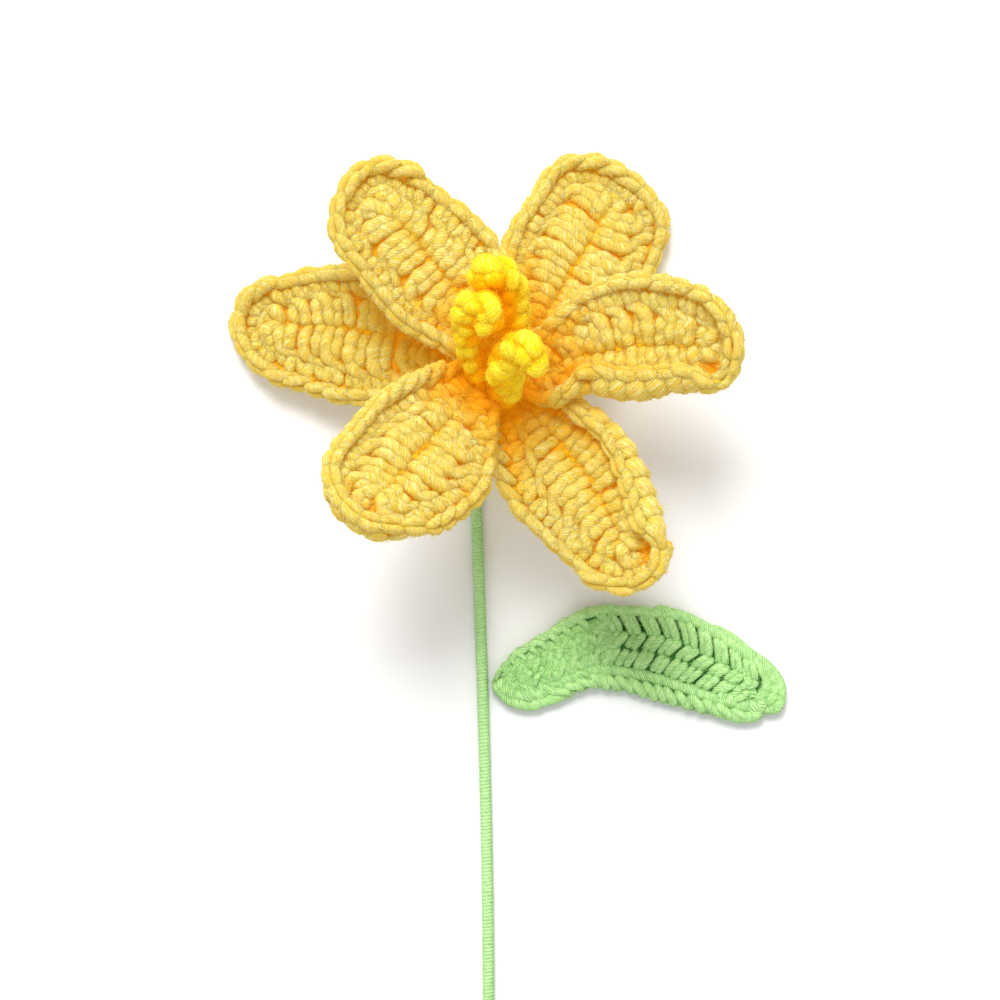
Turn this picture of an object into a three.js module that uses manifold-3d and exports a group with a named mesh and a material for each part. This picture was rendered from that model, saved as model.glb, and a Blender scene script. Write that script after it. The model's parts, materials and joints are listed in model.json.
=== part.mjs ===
// A crocheted six-petalled flower on a wound wire stem, lying down face up.
// Millimetres, +Z up, +Y from the cut end of the stem towards the flower.
import * as THREE from "three";
import { mergeVertices } from "three/addons/utils/BufferGeometryUtils.js";
import Module from "manifold-3d";

// ---------------------------------------------------------------- driving dimensions
const GAP = 0.3;                 // clearance left where two pieces press on each other
const CLOTH = 1.9;               // half the thickness of the crocheted cloth
const ROW = 4.6;                 // height of the short border stitches
const EDGE = 2.6;                // height of the chained edge above them
const LOBE = 0.45;               // how far each tall stitch stands proud of the crevices

const HEART = new THREE.Vector3(1.1, 25.6, 24);   // where the inner petals meet
const LEAN = 20;                 // the flower's axis leans this far from +Z towards +Y

// Each petal: azimuth and its sweep, length, half widths right and left, pitch at base and tip,
// roll at base and tip, turn of the border at base, right, tip and left, fall of the face away
// from its seam, reach of the tip past the seam, narrowing towards the tip right and left, drop
// along the axis, and the shift of its base. Angles in degrees. Earlier petals lie over later ones.
const PETALS = [
  { name: "petal_inner_upper", az: 126, sweep: 16, length: 57, right: 14.5, left: 16.8,
    pitch: [12, -6], roll: [-5, 14], rim: [25, 30, 58, 50], dome: 15, tip: 15,
    taper: [0.22, 0.02], drop: 0, off: [1.3, 2.6] },
  { name: "petal_inner_lower", az: 231, sweep: -5, length: 56.5, right: 16.5, left: 18,
    pitch: [50, 28], roll: [-5, 12], rim: [25, 52, 84, 28], dome: 15, tip: 14.4,
    taper: [0.05, 0.25], drop: 0, off: [-5.8, 0] },
  { name: "petal_inner_right", az: 13, sweep: -38, length: 54.8, right: 13.8, left: 16.8,
    pitch: [27, 12], roll: [0, 12], rim: [25, 112, 65, 35], dome: 10, tip: 12.8,
    taper: [0.11, 0.25], drop: 0, off: [3.3, 1] },
  { name: "petal_outer_left", az: 162, sweep: 38, length: 65.3, right: 15.8, left: 17.5,
    pitch: [-12, -23], roll: [-8, 10], rim: [20, 48, 62, 30], dome: 16, tip: 13.6,
    taper: [0.25, 0.24], drop: 5, off: [-1.8, 3] },
  { name: "petal_outer_lower", az: -48, sweep: -36, length: 62.3, right: 18, left: 15,
    pitch: [19, 14], roll: [-8, 14], rim: [20, 18, 60, 106], dome: 9, tip: 13.6,
    taper: [0.32, 0.2], drop: 5, off: [-3.3, 3] },
  { name: "petal_outer_upper", az: 59.5, sweep: 2, length: 56, right: 17.6, left: 17.8,
    pitch: [-18, -23.5], roll: [10, -3], rim: [20, 30, 65, 38], dome: 15, tip: 13.7,
    taper: [0.1, 0.02], drop: 5, off: [1.8, 4.8] },
];
const COLUMNS = 44;              // mesh columns round a petal, two to each tall stitch

// Stamens: points of the cord's centre line and the cord's radius there.
const STAMENS = [
  { name: "stamen_upper",
    at: [[1.5, 27.1, 24], [2.6, 33.5, 32], [3.2, 39, 38], [2.8, 43.1, 42], [1.7, 46.9, 46],
      [-0.6, 49, 48.5], [-3.4, 49.1, 48], [-4, 46.9, 45], [-2.8, 45.4, 42.5]],
    r: [2.2, 2.6, 2.9, 3, 3.1, 3.2, 3.3, 3.1, 2.6] },
  { name: "stamen_left",
    at: [[-3.5, 25.1, 25], [-5.6, 28.5, 31], [-7.1, 32.7, 36], [-7.9, 36.9, 41], [-7.6, 40.7, 45.5],
      [-5.5, 42.5, 48.5], [-2.7, 41.8, 49.5], [-1.3, 39.3, 48.5], [-2.3, 36.7, 46.5], [-3.6, 35.3, 44.5]],
    r: [2.2, 2.5, 2.7, 2.9, 3.2, 3.3, 3.3, 3.4, 3.2, 2.6] },
  { name: "stamen_right",
    at: [[1.7, 22.5, 25], [1.3, 25.1, 32], [0.6, 28.3, 38], [1.5, 31.5, 43], [3.4, 33.7, 47.5],
      [6.1, 34.2, 50], [8, 32.3, 49.5], [8.1, 29.8, 47.5], [7, 28.8, 46]],
    r: [2.8, 3.5, 3.8, 3.7, 3.4, 3.4, 3.5, 3.1, 2.4] },
];

const STEM_R = 1.46;             // outside of the wound yarn
const BORE_R = 1.05;             // inside of the wound yarn
const WIRE_R = 0.75;
const STEM_END = -185;           // Y of the cut end
const BEND_R = 12.4;             // bend from the flower's axis down to the table
const BIND = { top: -6.6, bottom: -15.2, rTop: 5.6, rBottom: 3.3, turns: 4 };

const LEAF = {
  x: [-1.35, 0.1, 4.5, 9.9, 16.3, 22.2, 29.7, 38.3, 46.9, 54.9, 60.3, 63.7],
  mid: [-40.6, -40.6, -40.2, -38.2, -35.2, -33.1, -33.7, -35.3, -39, -42.6, -44.2, -44.2],
  half: [0.6, 3.4, 6.6, 7.6, 8.3, 9.4, 9.8, 10.4, 9.2, 7.5, 5.2, 0.9],
  thick: 4.2, tail: [[5, -40.7, 1.8], [1.5, -40.7, 1.4], [-1.6, -40.7, 1.2]],
  holes: { count: 6, from: 31.5, to: 50.5, r: 0.8, up: 0.68 },
};

// ---------------------------------------------------------------- helpers
const RAD = Math.PI / 180;
const mix = (a, b, t) => a + (b - a) * t;
const clamp = (t) => Math.min(1, Math.max(0, t));
const smooth = (t) => { const c = clamp(t); return c * c * (3 - 2 * c); };
const AXIS = new THREE.Vector3(0, Math.sin(LEAN * RAD), Math.cos(LEAN * RAD));

const wasm = await Module();
wasm.setup();

function toManifold(geometry) {
  const g = geometry.clone();
  g.deleteAttribute("normal");
  g.deleteAttribute("uv");
  const m = mergeVertices(g, 1e-4);
  return new wasm.Manifold(new wasm.Mesh({
    numProp: 3,
    vertProperties: new Float32Array(m.attributes.position.array),
    triVerts: new Uint32Array(m.index.array),
  }));
}

function toGeometry(solid) {
  const m = solid.getMesh();
  const g = new THREE.BufferGeometry();
  g.setAttribute("position", new THREE.BufferAttribute(new Float32Array(m.vertProperties), 3));
  g.setIndex(new THREE.BufferAttribute(new Uint32Array(m.triVerts), 1));
  const flat = g.toNonIndexed();
  flat.computeVertexNormals();
  return flat;
}

// A closed solid from rows of points. Rows run along one way, each row is a closed ring.
function ringSolid(rings, closedEnds = true) {
  const n = rings[0].length;
  const verts = rings.flat();
  const tris = [];
  const id = (i, j) => i * n + (j % n);
  for (let i = 0; i + 1 < rings.length; i++) {
    for (let j = 0; j < n; j++) {
      tris.push(id(i, j), id(i, j + 1), id(i + 1, j + 1), id(i, j), id(i + 1, j + 1), id(i + 1, j));
    }
  }
  if (closedEnds) {
    for (const [row, flip] of [[0, true], [rings.length - 1, false]]) {
      const c = rings[row].reduce((s, p) => s.add(p), new THREE.Vector3()).divideScalar(n);
      verts.push(c);
      for (let j = 0; j < n; j++) {
        const a = id(row, j), b = id(row, j + 1), k = verts.length - 1;
        flip ? tris.push(k, b, a) : tris.push(k, a, b);
      }
    }
  }
  return solidFrom(verts, tris);
}

// Builds a solid from points and triangles, dropping triangles that have closed up to a line.
function solidFrom(verts, tris) {
  const key = (p) => `${Math.round(p.x * 1e4)},${Math.round(p.y * 1e4)},${Math.round(p.z * 1e4)}`;
  const seen = new Map();
  const pos = [];
  const map = verts.map((p) => {
    const k = key(p);
    if (!seen.has(k)) { seen.set(k, pos.length / 3); pos.push(p.x, p.y, p.z); }
    return seen.get(k);
  });
  const out = [];
  for (let i = 0; i < tris.length; i += 3) {
    const [a, b, c] = [map[tris[i]], map[tris[i + 1]], map[tris[i + 2]]];
    if (a !== b && b !== c && a !== c) out.push(a, b, c);
  }
  const build = (triVerts) => new wasm.Manifold(new wasm.Mesh({
    numProp: 3, vertProperties: new Float32Array(pos), triVerts: new Uint32Array(triVerts),
  }));
  const solid = build(out);
  return solid.volume() > 0 ? solid : build(out.reverse());
}

function largest(solid) {
  const bodies = solid.decompose();
  return bodies.reduce((a, b) => (b.volume() > a.volume() ? b : a));
}

// ---------------------------------------------------------------- petals
// The cloth is laid out in spokes, as it is worked: round a short seam up the middle. A spoke is
// named by side (+1 left, -1 right) and h, which runs from 0 at the base to 1 at the tip.
function spoke(p, h, side) {
  const base = 7.5, h0 = 0.1, h1 = 0.8;
  const half = side > 0 ? p.left : p.right;
  const taper = side > 0 ? p.taper[1] : p.taper[0];
  const t = clamp((h - h0) / (h1 - h0));
  const foot = mix(base, p.length - p.tip, t);
  let angle = mix(104, 76, t);
  let flat = half * (0.5 + 0.5 * Math.sin(Math.PI * Math.min(0.5, 0.5 * t / 0.62)) ** 1.3)
    * (1 - taper * clamp((t - 0.4) / 0.6) ** 1.8);
  if (h < h0) {
    angle = mix(180, 104, smooth(h / h0));
    flat = mix(base, half * 0.5, smooth(h / h0));
  } else if (h > h1) {
    angle = mix(76, 0, (h - h1) / (1 - h1));
    flat = mix(half * (1 - taper), p.tip, smooth((h - h1) / (1 - h1)));
  }
  return { foot, angle: angle * RAD, flat: Math.max(flat, ROW + EDGE + 0.3) };
}

function rimTurn(p, h, side) {
  const [base, right, tip, left] = p.rim;
  const turn = mix(base, side > 0 ? left : right, smooth((h - 0.05) / 0.35));
  return mix(turn, tip, smooth((h - 0.72) / 0.22));
}

const STEPS = 24;
function average(fn) {
  let s = 0;
  for (let i = 0; i < STEPS; i++) s += fn((i + 0.5) / STEPS);
  return s / STEPS;
}

// A point of the cloth: d along the spoke from the seam, n off its middle surface.
function petalPoint(p, h, side, d, n) {
  const { foot, angle, flat } = spoke(p, h, side);
  const post = flat - ROW - EDGE;
  const turn = rimTurn(p, h, side);
  const fall = p.dome * smooth(h / 0.3);
  const ease = Math.max(ROW + 0.6, 0.06 * (turn + fall));
  const bend = (v) => {
    const up = smooth((v - Math.max(post - 1.2, 0)) / ease);
    return mix(-fall * smooth(v / Math.max(post, 2)), turn, up) * RAD;
  };
  const r = d * average((u) => Math.cos(bend(d * u))) - n * Math.sin(bend(d));
  const z = d * average((u) => Math.sin(bend(d * u))) + n * Math.cos(bend(d));
  const x = foot + r * Math.cos(angle);
  const y = side * r * Math.sin(angle);
  const az = (v) => (p.az + p.sweep * (clamp(v / p.length) - 0.3)) * RAD;
  const pitch = (v) => mix(p.pitch[0], p.pitch[1], clamp(v / p.length)) * RAD;
  const along = new THREE.Vector3(
    x * average((u) => Math.cos(az(x * u)) * Math.cos(pitch(x * u))),
    x * average((u) => Math.sin(az(x * u)) * Math.cos(pitch(x * u))),
    x * average((u) => Math.sin(pitch(x * u))),
  );
  const [a, b] = [az(x), pitch(x)];
  const ahead = new THREE.Vector3(Math.cos(a) * Math.cos(b), Math.sin(a) * Math.cos(b), Math.sin(b));
  const left = new THREE.Vector3(-Math.sin(a), Math.cos(a), 0);
  const up = ahead.clone().cross(left);
  const roll = mix(p.roll[0], p.roll[1], clamp(x / p.length)) * RAD;
  const across = left.clone().multiplyScalar(Math.cos(roll)).addScaledVector(up, Math.sin(roll));
  const normal = up.clone().multiplyScalar(Math.cos(roll)).addScaledVector(left, -Math.sin(roll));
  return HEART.clone().addScaledVector(AXIS, -p.drop)
    .add(new THREE.Vector3(p.off[0], p.off[1], 0))
    .add(along).addScaledVector(across, y).addScaledVector(normal, z);
}

function petal(p, grow = 0) {
  const M = COLUMNS / 2;
  const columns = [];
  for (let j = 0; j < COLUMNS; j++) {
    columns.push(j <= M ? { h: j / M, side: 1 } : { h: (COLUMNS - j) / M, side: -1 });
  }
  // Each column is a closed ring of points: out over the face, round the edge, back underneath.
  const verts = [];
  const tris = [];
  columns.forEach(({ h, side }, j) => {
    const { flat } = spoke(p, h, side);
    const post = flat - ROW - EDGE;
    const lobe = LOBE * (j % 2 ? -1 : 1);
    const rows = [
      [0, -0.2], [0.4 * post, lobe], [0.8 * post, lobe], [post + 0.2, -0.5],
      [post + 0.55 * ROW, -0.6 * lobe], [post + ROW + 0.4, 0.1], [flat - 0.5, lobe * 0.5 - 0.3],
    ];
    const face = rows.map(([d, e]) => petalPoint(p, h, side, d, CLOTH + e + grow));
    const back = rows.map(([d, e]) => petalPoint(p, h, side, d, -CLOTH - e - grow));
    const rim = petalPoint(p, h, side, flat + 0.9 + grow, 0);
    verts.push(...face, rim, ...back.reverse());
  });
  const n = verts.length / COLUMNS;
  for (let j = 0; j < COLUMNS; j++) {
    const a = j * n, b = ((j + 1) % COLUMNS) * n;
    for (let i = 0; i + 1 < n; i++) {
      tris.push(a + i, a + i + 1, b + i + 1, a + i, b + i + 1, b + i);
    }
  }
  return solidFrom(verts, tris);
}

// ---------------------------------------------------------------- stamens
function cord(points, radii, grow = 0, beads = 12) {
  const curve = new THREE.CatmullRomCurve3(points.map((q) => new THREE.Vector3(...q)));
  const balls = [];
  for (let i = 0; i <= beads; i++) {
    const t = i / beads;
    const c = curve.getPoint(t);
    const k = t * (radii.length - 1);
    const a = Math.min(radii.length - 2, Math.floor(k));
    const plump = i % 2 ? 1 : 0.88;
    const r = mix(radii[a], radii[a + 1], k - a) * plump + grow;
    balls.push(wasm.Manifold.sphere(r, 8).translate([c.x, c.y, c.z]));
  }
  const links = balls.slice(1).map((ball, i) => wasm.Manifold.hull([balls[i], ball]));
  return wasm.Manifold.union(links);
}

// ---------------------------------------------------------------- stem
// The stem leaves the flower along its axis, bends down to the table and lies along it.
function stemPath() {
  const start = HEART.clone().addScaledVector(AXIS, BIND.bottom);
  const pts = [];
  for (const a of [-3, -9, BIND.bottom]) pts.push(HEART.clone().addScaledVector(AXIS, a));
  const turn = (90 - LEAN) * RAD;
  const drop = start.z - STEM_R;
  const radius = drop / (1 - Math.cos(turn));
  for (let i = 1; i <= 6; i++) {
    const a = turn * (1 - i / 6);
    pts.push(new THREE.Vector3(0, start.y - radius * (Math.sin(turn) - Math.sin(a)),
      STEM_R + radius * (1 - Math.cos(a))));
  }
  const flatFrom = pts[pts.length - 1].y;
  for (let i = 1; i <= 12; i++) {
    pts.push(new THREE.Vector3(0, mix(flatFrom, STEM_END, (i / 12) ** 1.3), STEM_R));
  }
  const bow = (y) => -2.6 - 2.65 * Math.sign(y + 110) * (Math.abs(y + 110) / 106.6) ** 1.6;
  for (const q of pts) {
    q.x = mix(HEART.x, bow(Math.min(q.y, 0)), smooth((start.y + 2 - q.y) / (start.y + 2)));
  }
  return new THREE.CatmullRomCurve3(pts, false, "centripetal");
}

function tube(points, radius, sides) {
  return points.map((c, i) => {
    const before = points[Math.max(0, i - 1)], after = points[Math.min(points.length - 1, i + 1)];
    const ahead = after.clone().sub(before).normalize();
    const across = new THREE.Vector3(1, 0, 0).addScaledVector(ahead, -ahead.x).normalize();
    const up = ahead.clone().cross(across);
    return Array.from({ length: sides }, (_, j) => {
      const a = 2 * Math.PI * (j + 0.5) / sides;
      return c.clone().addScaledVector(across, radius * Math.cos(a)).addScaledVector(up, radius * Math.sin(a));
    });
  });
}

function stemPieces() {
  const path = stemPath();
  const all = path.getPoints(42);
  const wire = ringSolid(tube(all, WIRE_R, 8));
  const limit = HEART.clone().addScaledVector(AXIS, BIND.bottom - GAP);
  const under = all.filter((q, i) => i < all.length - 1 && q.clone().sub(limit).dot(AXIS) < -0.8);
  under.unshift(limit);
  under.push(mixPoint(all[all.length - 1], all[all.length - 2], 0.25));
  const outer = ringSolid(tube(under, STEM_R / Math.cos(Math.PI / 12), 12));
  const long = under.map((q) => q.clone());
  long[0].addScaledVector(AXIS, 0.01);
  long[long.length - 1].y -= 0.01;
  const wrap = outer.subtract(ringSolid(tube(long, BORE_R, 8)));
  const hug = ringSolid(tube(under, STEM_R / Math.cos(Math.PI / 12) + GAP, 12));
  return { wire, wrap: wrap.trimByPlane([0, 0, 1], 0), path, hug };
}

const mixPoint = (a, b, t) => a.clone().lerp(b, t);

// Yellow yarn wound round the top of the wire, under the petals.
function binding(grow = 0) {
  const profile = [];
  const n = BIND.turns * 4;
  for (let i = 0; i <= n; i++) {
    const t = i / n;
    const ridge = 0.5 * Math.abs(Math.sin(Math.PI * BIND.turns * t));
    profile.push([mix(BIND.rBottom, BIND.rTop, t) - 0.5 + ridge + grow, mix(BIND.bottom, BIND.top, t)]);
  }
  profile[0][1] -= grow;
  profile[n][1] += grow;
  const inner = grow ? [] : [[BORE_R, BIND.top], [BORE_R, BIND.bottom]];
  const loop = grow ? [[0, profile[n][1]], [0, profile[0][1]]] : inner;
  const points = [...profile, ...loop].map(([x, y]) => [x, y]);
  return new wasm.CrossSection([points]).revolve(16)
    .rotate([-LEAN, 0, 0]).translate([HEART.x, HEART.y, HEART.z]);
}

// ---------------------------------------------------------------- leaf
function leaf() {
  const along = new THREE.CatmullRomCurve3(LEAF.x.map((x, i) => new THREE.Vector3(x, LEAF.mid[i], 0)));
  const wide = new THREE.CatmullRomCurve3(LEAF.x.map((x, i) => new THREE.Vector3(x, LEAF.half[i], 0)));
  const rings = [];
  const n = 32;
  for (let i = 0; i <= n; i++) {
    const t = i / n;
    const c = along.getPoint(t);
    const half = wide.getPoint(t).y;
    const tangent = along.getTangent(t);
    const side = new THREE.Vector3(-tangent.y, tangent.x, 0);
    const lobe = LOBE * (i % 2 ? -1 : 1);
    const end = Math.min(1, half / 5);
    const put = (v, z) => c.clone().addScaledVector(side, v * half).setZ(z);
    const top = [-0.96, -0.8, -0.62, -0.1, 0, 0.1, 0.72, 0.84, 0.96];
    const tall = [0.4, 0.3, lobe - 0.2, lobe - 0.1, -0.7, lobe - 0.1, lobe - 0.2, -0.1, 0.4];
    const face = top.map((v, k) => put(v, mix(2.4, LEAF.thick + tall[k] - 0.4, end)));
    rings.push([put(1.02, 1.6), put(0.94, -0.3), put(-0.94, -0.3), put(-1.02, 1.6), ...face]);
  }
  let solid = ringSolid(rings);
  const tail = cord(LEAF.tail, [1.5, 1.2, 1], 0, 6);
  solid = solid.add(tail).trimByPlane([0, 0, 1], 0);
  for (let i = 0; i < LEAF.holes.count; i++) {
    const x = mix(LEAF.holes.from, LEAF.holes.to, i / (LEAF.holes.count - 1));
    let k = 0;
    while (along.getPoint(k / 200).x < x) k++;
    const y = along.getPoint(k / 200).y + LEAF.holes.up * wide.getPoint(k / 200).y;
    const r = LEAF.holes.r;
    solid = solid.subtract(wasm.Manifold.cylinder(20, r, r, 6, true).scale([1, 1.7, 1]).translate([x, y, 0]));
  }
  return solid;
}

// ---------------------------------------------------------------- assembly
const yarnYellow = new THREE.MeshStandardMaterial({ color: 0xf0cf61, roughness: 0.9, metalness: 0 });
yarnYellow.name = "petal_yarn";
const yarnLemon = new THREE.MeshStandardMaterial({ color: 0xfacc04, roughness: 0.9, metalness: 0 });
yarnLemon.name = "stamen_yarn";
const yarnGreen = new THREE.MeshStandardMaterial({ color: 0xaae085, roughness: 0.9, metalness: 0 });
yarnGreen.name = "green_yarn";
const steel = new THREE.MeshStandardMaterial({ color: 0x9a9a98, roughness: 0.4, metalness: 1 });
steel.name = "wire_steel";

const group = new THREE.Group();
group.name = "crocheted_flower";

function add(name, solid, material) {
  const mesh = new THREE.Mesh(toGeometry(solid), material);
  mesh.name = name;
  group.add(mesh);
}

const floor = (solid) => solid.trimByPlane([0, 0, 1], 0);
const solids = [];
const carved = [];               // grown copies that later pieces are cut back to
const place = (name, solid, grown, material) => {
  const cut = carved.reduce((s, g) => s.subtract(g), solid);
  solids.push([name, largest(floor(cut)), material]);
  carved.push(grown);
};

const { wire, wrap, path, hug } = stemPieces();
const wireGrown = ringSolid(tube(path.getPoints(42), WIRE_R + GAP, 8));
solids.push(["stem_wire", wire, steel], ["stem_wrap", wrap, yarnGreen]);
carved.push(wireGrown);
solids.push(["petal_binding", binding(), yarnYellow]);
carved.push(binding(GAP));
for (const s of STAMENS) place(s.name, cord(s.at, s.r), cord(s.at, s.r, GAP), yarnLemon);
for (const p of PETALS) place(p.name, petal(p), petal(p, GAP), yarnYellow);
solids.push(["leaf", largest(leaf().subtract(hug)), yarnGreen]);

for (const [name, solid, material] of solids) add(name, solid, material);

// The origin is the middle of the bounding box's bottom face.
const box = new THREE.Box3().setFromObject(group);
const shift = new THREE.Vector3(-(box.min.x + box.max.x) / 2, -(box.min.y + box.max.y) / 2, -box.min.z);
for (const mesh of group.children) mesh.geometry.translate(shift.x, shift.y, shift.z);

export default group;
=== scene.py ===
# %% [markdown]
# # A crocheted flower, laid down face up
#
# The real thing is worked by hand from soft spun yarn: six petals, three crooked stamens, a leaf and a wire
# stem wound with green. Everything here is therefore yarn. Each stitch is laid as its own strand over the
# form that the CAD part gives the petal or leaf, because cloth built of strands catches the light the way
# crochet does, and a smooth sheet with a bumpy paint never will.

# %% Start from the CAD part
import json
import math
import bpy
import numpy as np
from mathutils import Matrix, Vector
from mathutils.bvhtree import BVHTree

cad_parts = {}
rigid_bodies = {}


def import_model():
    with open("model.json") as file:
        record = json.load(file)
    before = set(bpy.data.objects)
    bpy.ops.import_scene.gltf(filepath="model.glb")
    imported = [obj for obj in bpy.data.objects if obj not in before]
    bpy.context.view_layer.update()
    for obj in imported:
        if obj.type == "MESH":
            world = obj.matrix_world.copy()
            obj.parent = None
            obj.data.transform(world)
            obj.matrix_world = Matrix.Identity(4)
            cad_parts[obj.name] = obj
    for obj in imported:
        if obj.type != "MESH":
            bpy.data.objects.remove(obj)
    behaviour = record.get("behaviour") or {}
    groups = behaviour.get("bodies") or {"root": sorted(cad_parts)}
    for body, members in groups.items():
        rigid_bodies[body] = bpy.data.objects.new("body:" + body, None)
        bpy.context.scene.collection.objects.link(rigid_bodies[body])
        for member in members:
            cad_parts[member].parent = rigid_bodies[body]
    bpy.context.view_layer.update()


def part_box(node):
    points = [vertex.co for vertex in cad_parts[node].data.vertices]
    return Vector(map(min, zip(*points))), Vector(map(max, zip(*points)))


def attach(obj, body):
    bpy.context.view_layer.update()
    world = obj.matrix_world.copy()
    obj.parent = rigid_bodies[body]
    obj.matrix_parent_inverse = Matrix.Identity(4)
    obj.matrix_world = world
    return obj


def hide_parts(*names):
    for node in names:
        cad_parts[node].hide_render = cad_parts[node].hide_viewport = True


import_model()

rng = np.random.default_rng(11)

# %% [markdown]
# The petals are worked in the same numbers as the CAD source: millimetres, with the flower's heart at a known
# place. The CAD part was then moved so that its origin is under its middle. Two of its edges, the cut end of
# the wire and the wire's side at the heart, give that move back.

# %% Driving dimensions
MM = 0.001
ROW, EDGE = 4.6, 2.6  # width of the row of V stitches, and of the chained edge on it
HEART = np.array([1.1, 25.6, 24.0])  # where petals and stamens meet
LEAN = math.radians(20)  # the flower's axis leans this far from upright, away from the stem's cut end
AXIS = np.array([0, math.sin(LEAN), math.cos(LEAN)])
STEM_R, STEM_END, WIRE_R = 1.46, -185.0, 0.75
LEAF_MIDDLE = 2.15  # height of the middle of the leaf's cloth over the surface
LIGHT_WAY = 34.0  # how far a ray is followed to see whether a place lies in a hollow
UV_STEP = 10.0  # millimetres of strand to one unit of v
TALL, SHORT = 18, 27  # pairs of tall stitches, and V stitches, round one petal

wire_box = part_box("stem_wire")
side_of_wire = HEART[0] + WIRE_R * math.cos(math.pi / 8)
MOVE = np.array([wire_box[1][0] / MM - side_of_wire, wire_box[0][1] / MM - STEM_END, 0.0])
print("moved by, mm:", MOVE.round(3))

PETALS = {
    "petal_inner_upper": dict(
        az=126, sweep=16, length=57, right=14.5, left=16.8, pitch=(12, -6), roll=(-5, 14),
        rim=(25, 30, 58, 50), dome=15, tip=15, taper=(0.22, 0.02), drop=0, off=(1.3, 2.6)),
    "petal_inner_lower": dict(
        az=231, sweep=-5, length=56.5, right=16.5, left=18, pitch=(50, 28), roll=(-5, 12),
        rim=(25, 52, 84, 28), dome=15, tip=14.4, taper=(0.05, 0.25), drop=0, off=(-5.8, 0)),
    "petal_inner_right": dict(
        az=13, sweep=-38, length=54.8, right=16.7, left=16.8, pitch=(27, 12), roll=(0, 12),
        rim=(25, 150, 80, 35), dome=10, tip=12.8, taper=(0.11, 0.25), drop=0, fold=3.1, off=(3.3, 1)),
    "petal_outer_left": dict(
        az=162, sweep=38, length=65.3, right=15.8, left=17.5, pitch=(-12, -23), roll=(-8, 10),
        rim=(20, 48, 62, 30), dome=16, tip=13.6, taper=(0.25, 0.24), drop=5, off=(-1.8, 3)),
    "petal_outer_lower": dict(
        az=-48, sweep=-36, length=62.3, right=18, left=17.4, pitch=(19, 14), roll=(-8, 14),
        rim=(20, 18, 60, 135), dome=9, tip=13.6, taper=(0.32, 0.2), drop=5, fold=2.6, off=(-3.3, 3)),
    "petal_outer_upper": dict(
        az=59.5, sweep=2, length=56, right=17.6, left=17.8, pitch=(-18, -23.5), roll=(10, -3),
        rim=(20, 30, 65, 38), dome=15, tip=13.7, taper=(0.1, 0.02), drop=5, off=(1.8, 4.8)),
}
print(len(PETALS), "petals; az, sweep, pitch, roll, rim, dome in degrees, the rest in mm or shares")

# %% [markdown]
# A crocheted petal is worked round a short seam up its middle. So a place on it is named by the spoke it lies
# on and by its distance out along that spoke: `h` runs from the base to the tip, `side` says left or right,
# `d` is the distance from the seam in millimetres, and `n` is the height over the middle of the cloth. The
# face falls away from the seam on both sides, and the border turns up out of that fall.

# %% The form of a petal
def mix(a, b, t):
    return a + (b - a) * t


def smooth(t):
    t = np.clip(t, 0, 1)
    return t * t * (3 - 2 * t)


STEPS = (np.arange(24) + 0.5) / 24  # a bend is followed in this many small steps
FOOT = 7.5  # the seam starts this far up the petal


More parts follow.
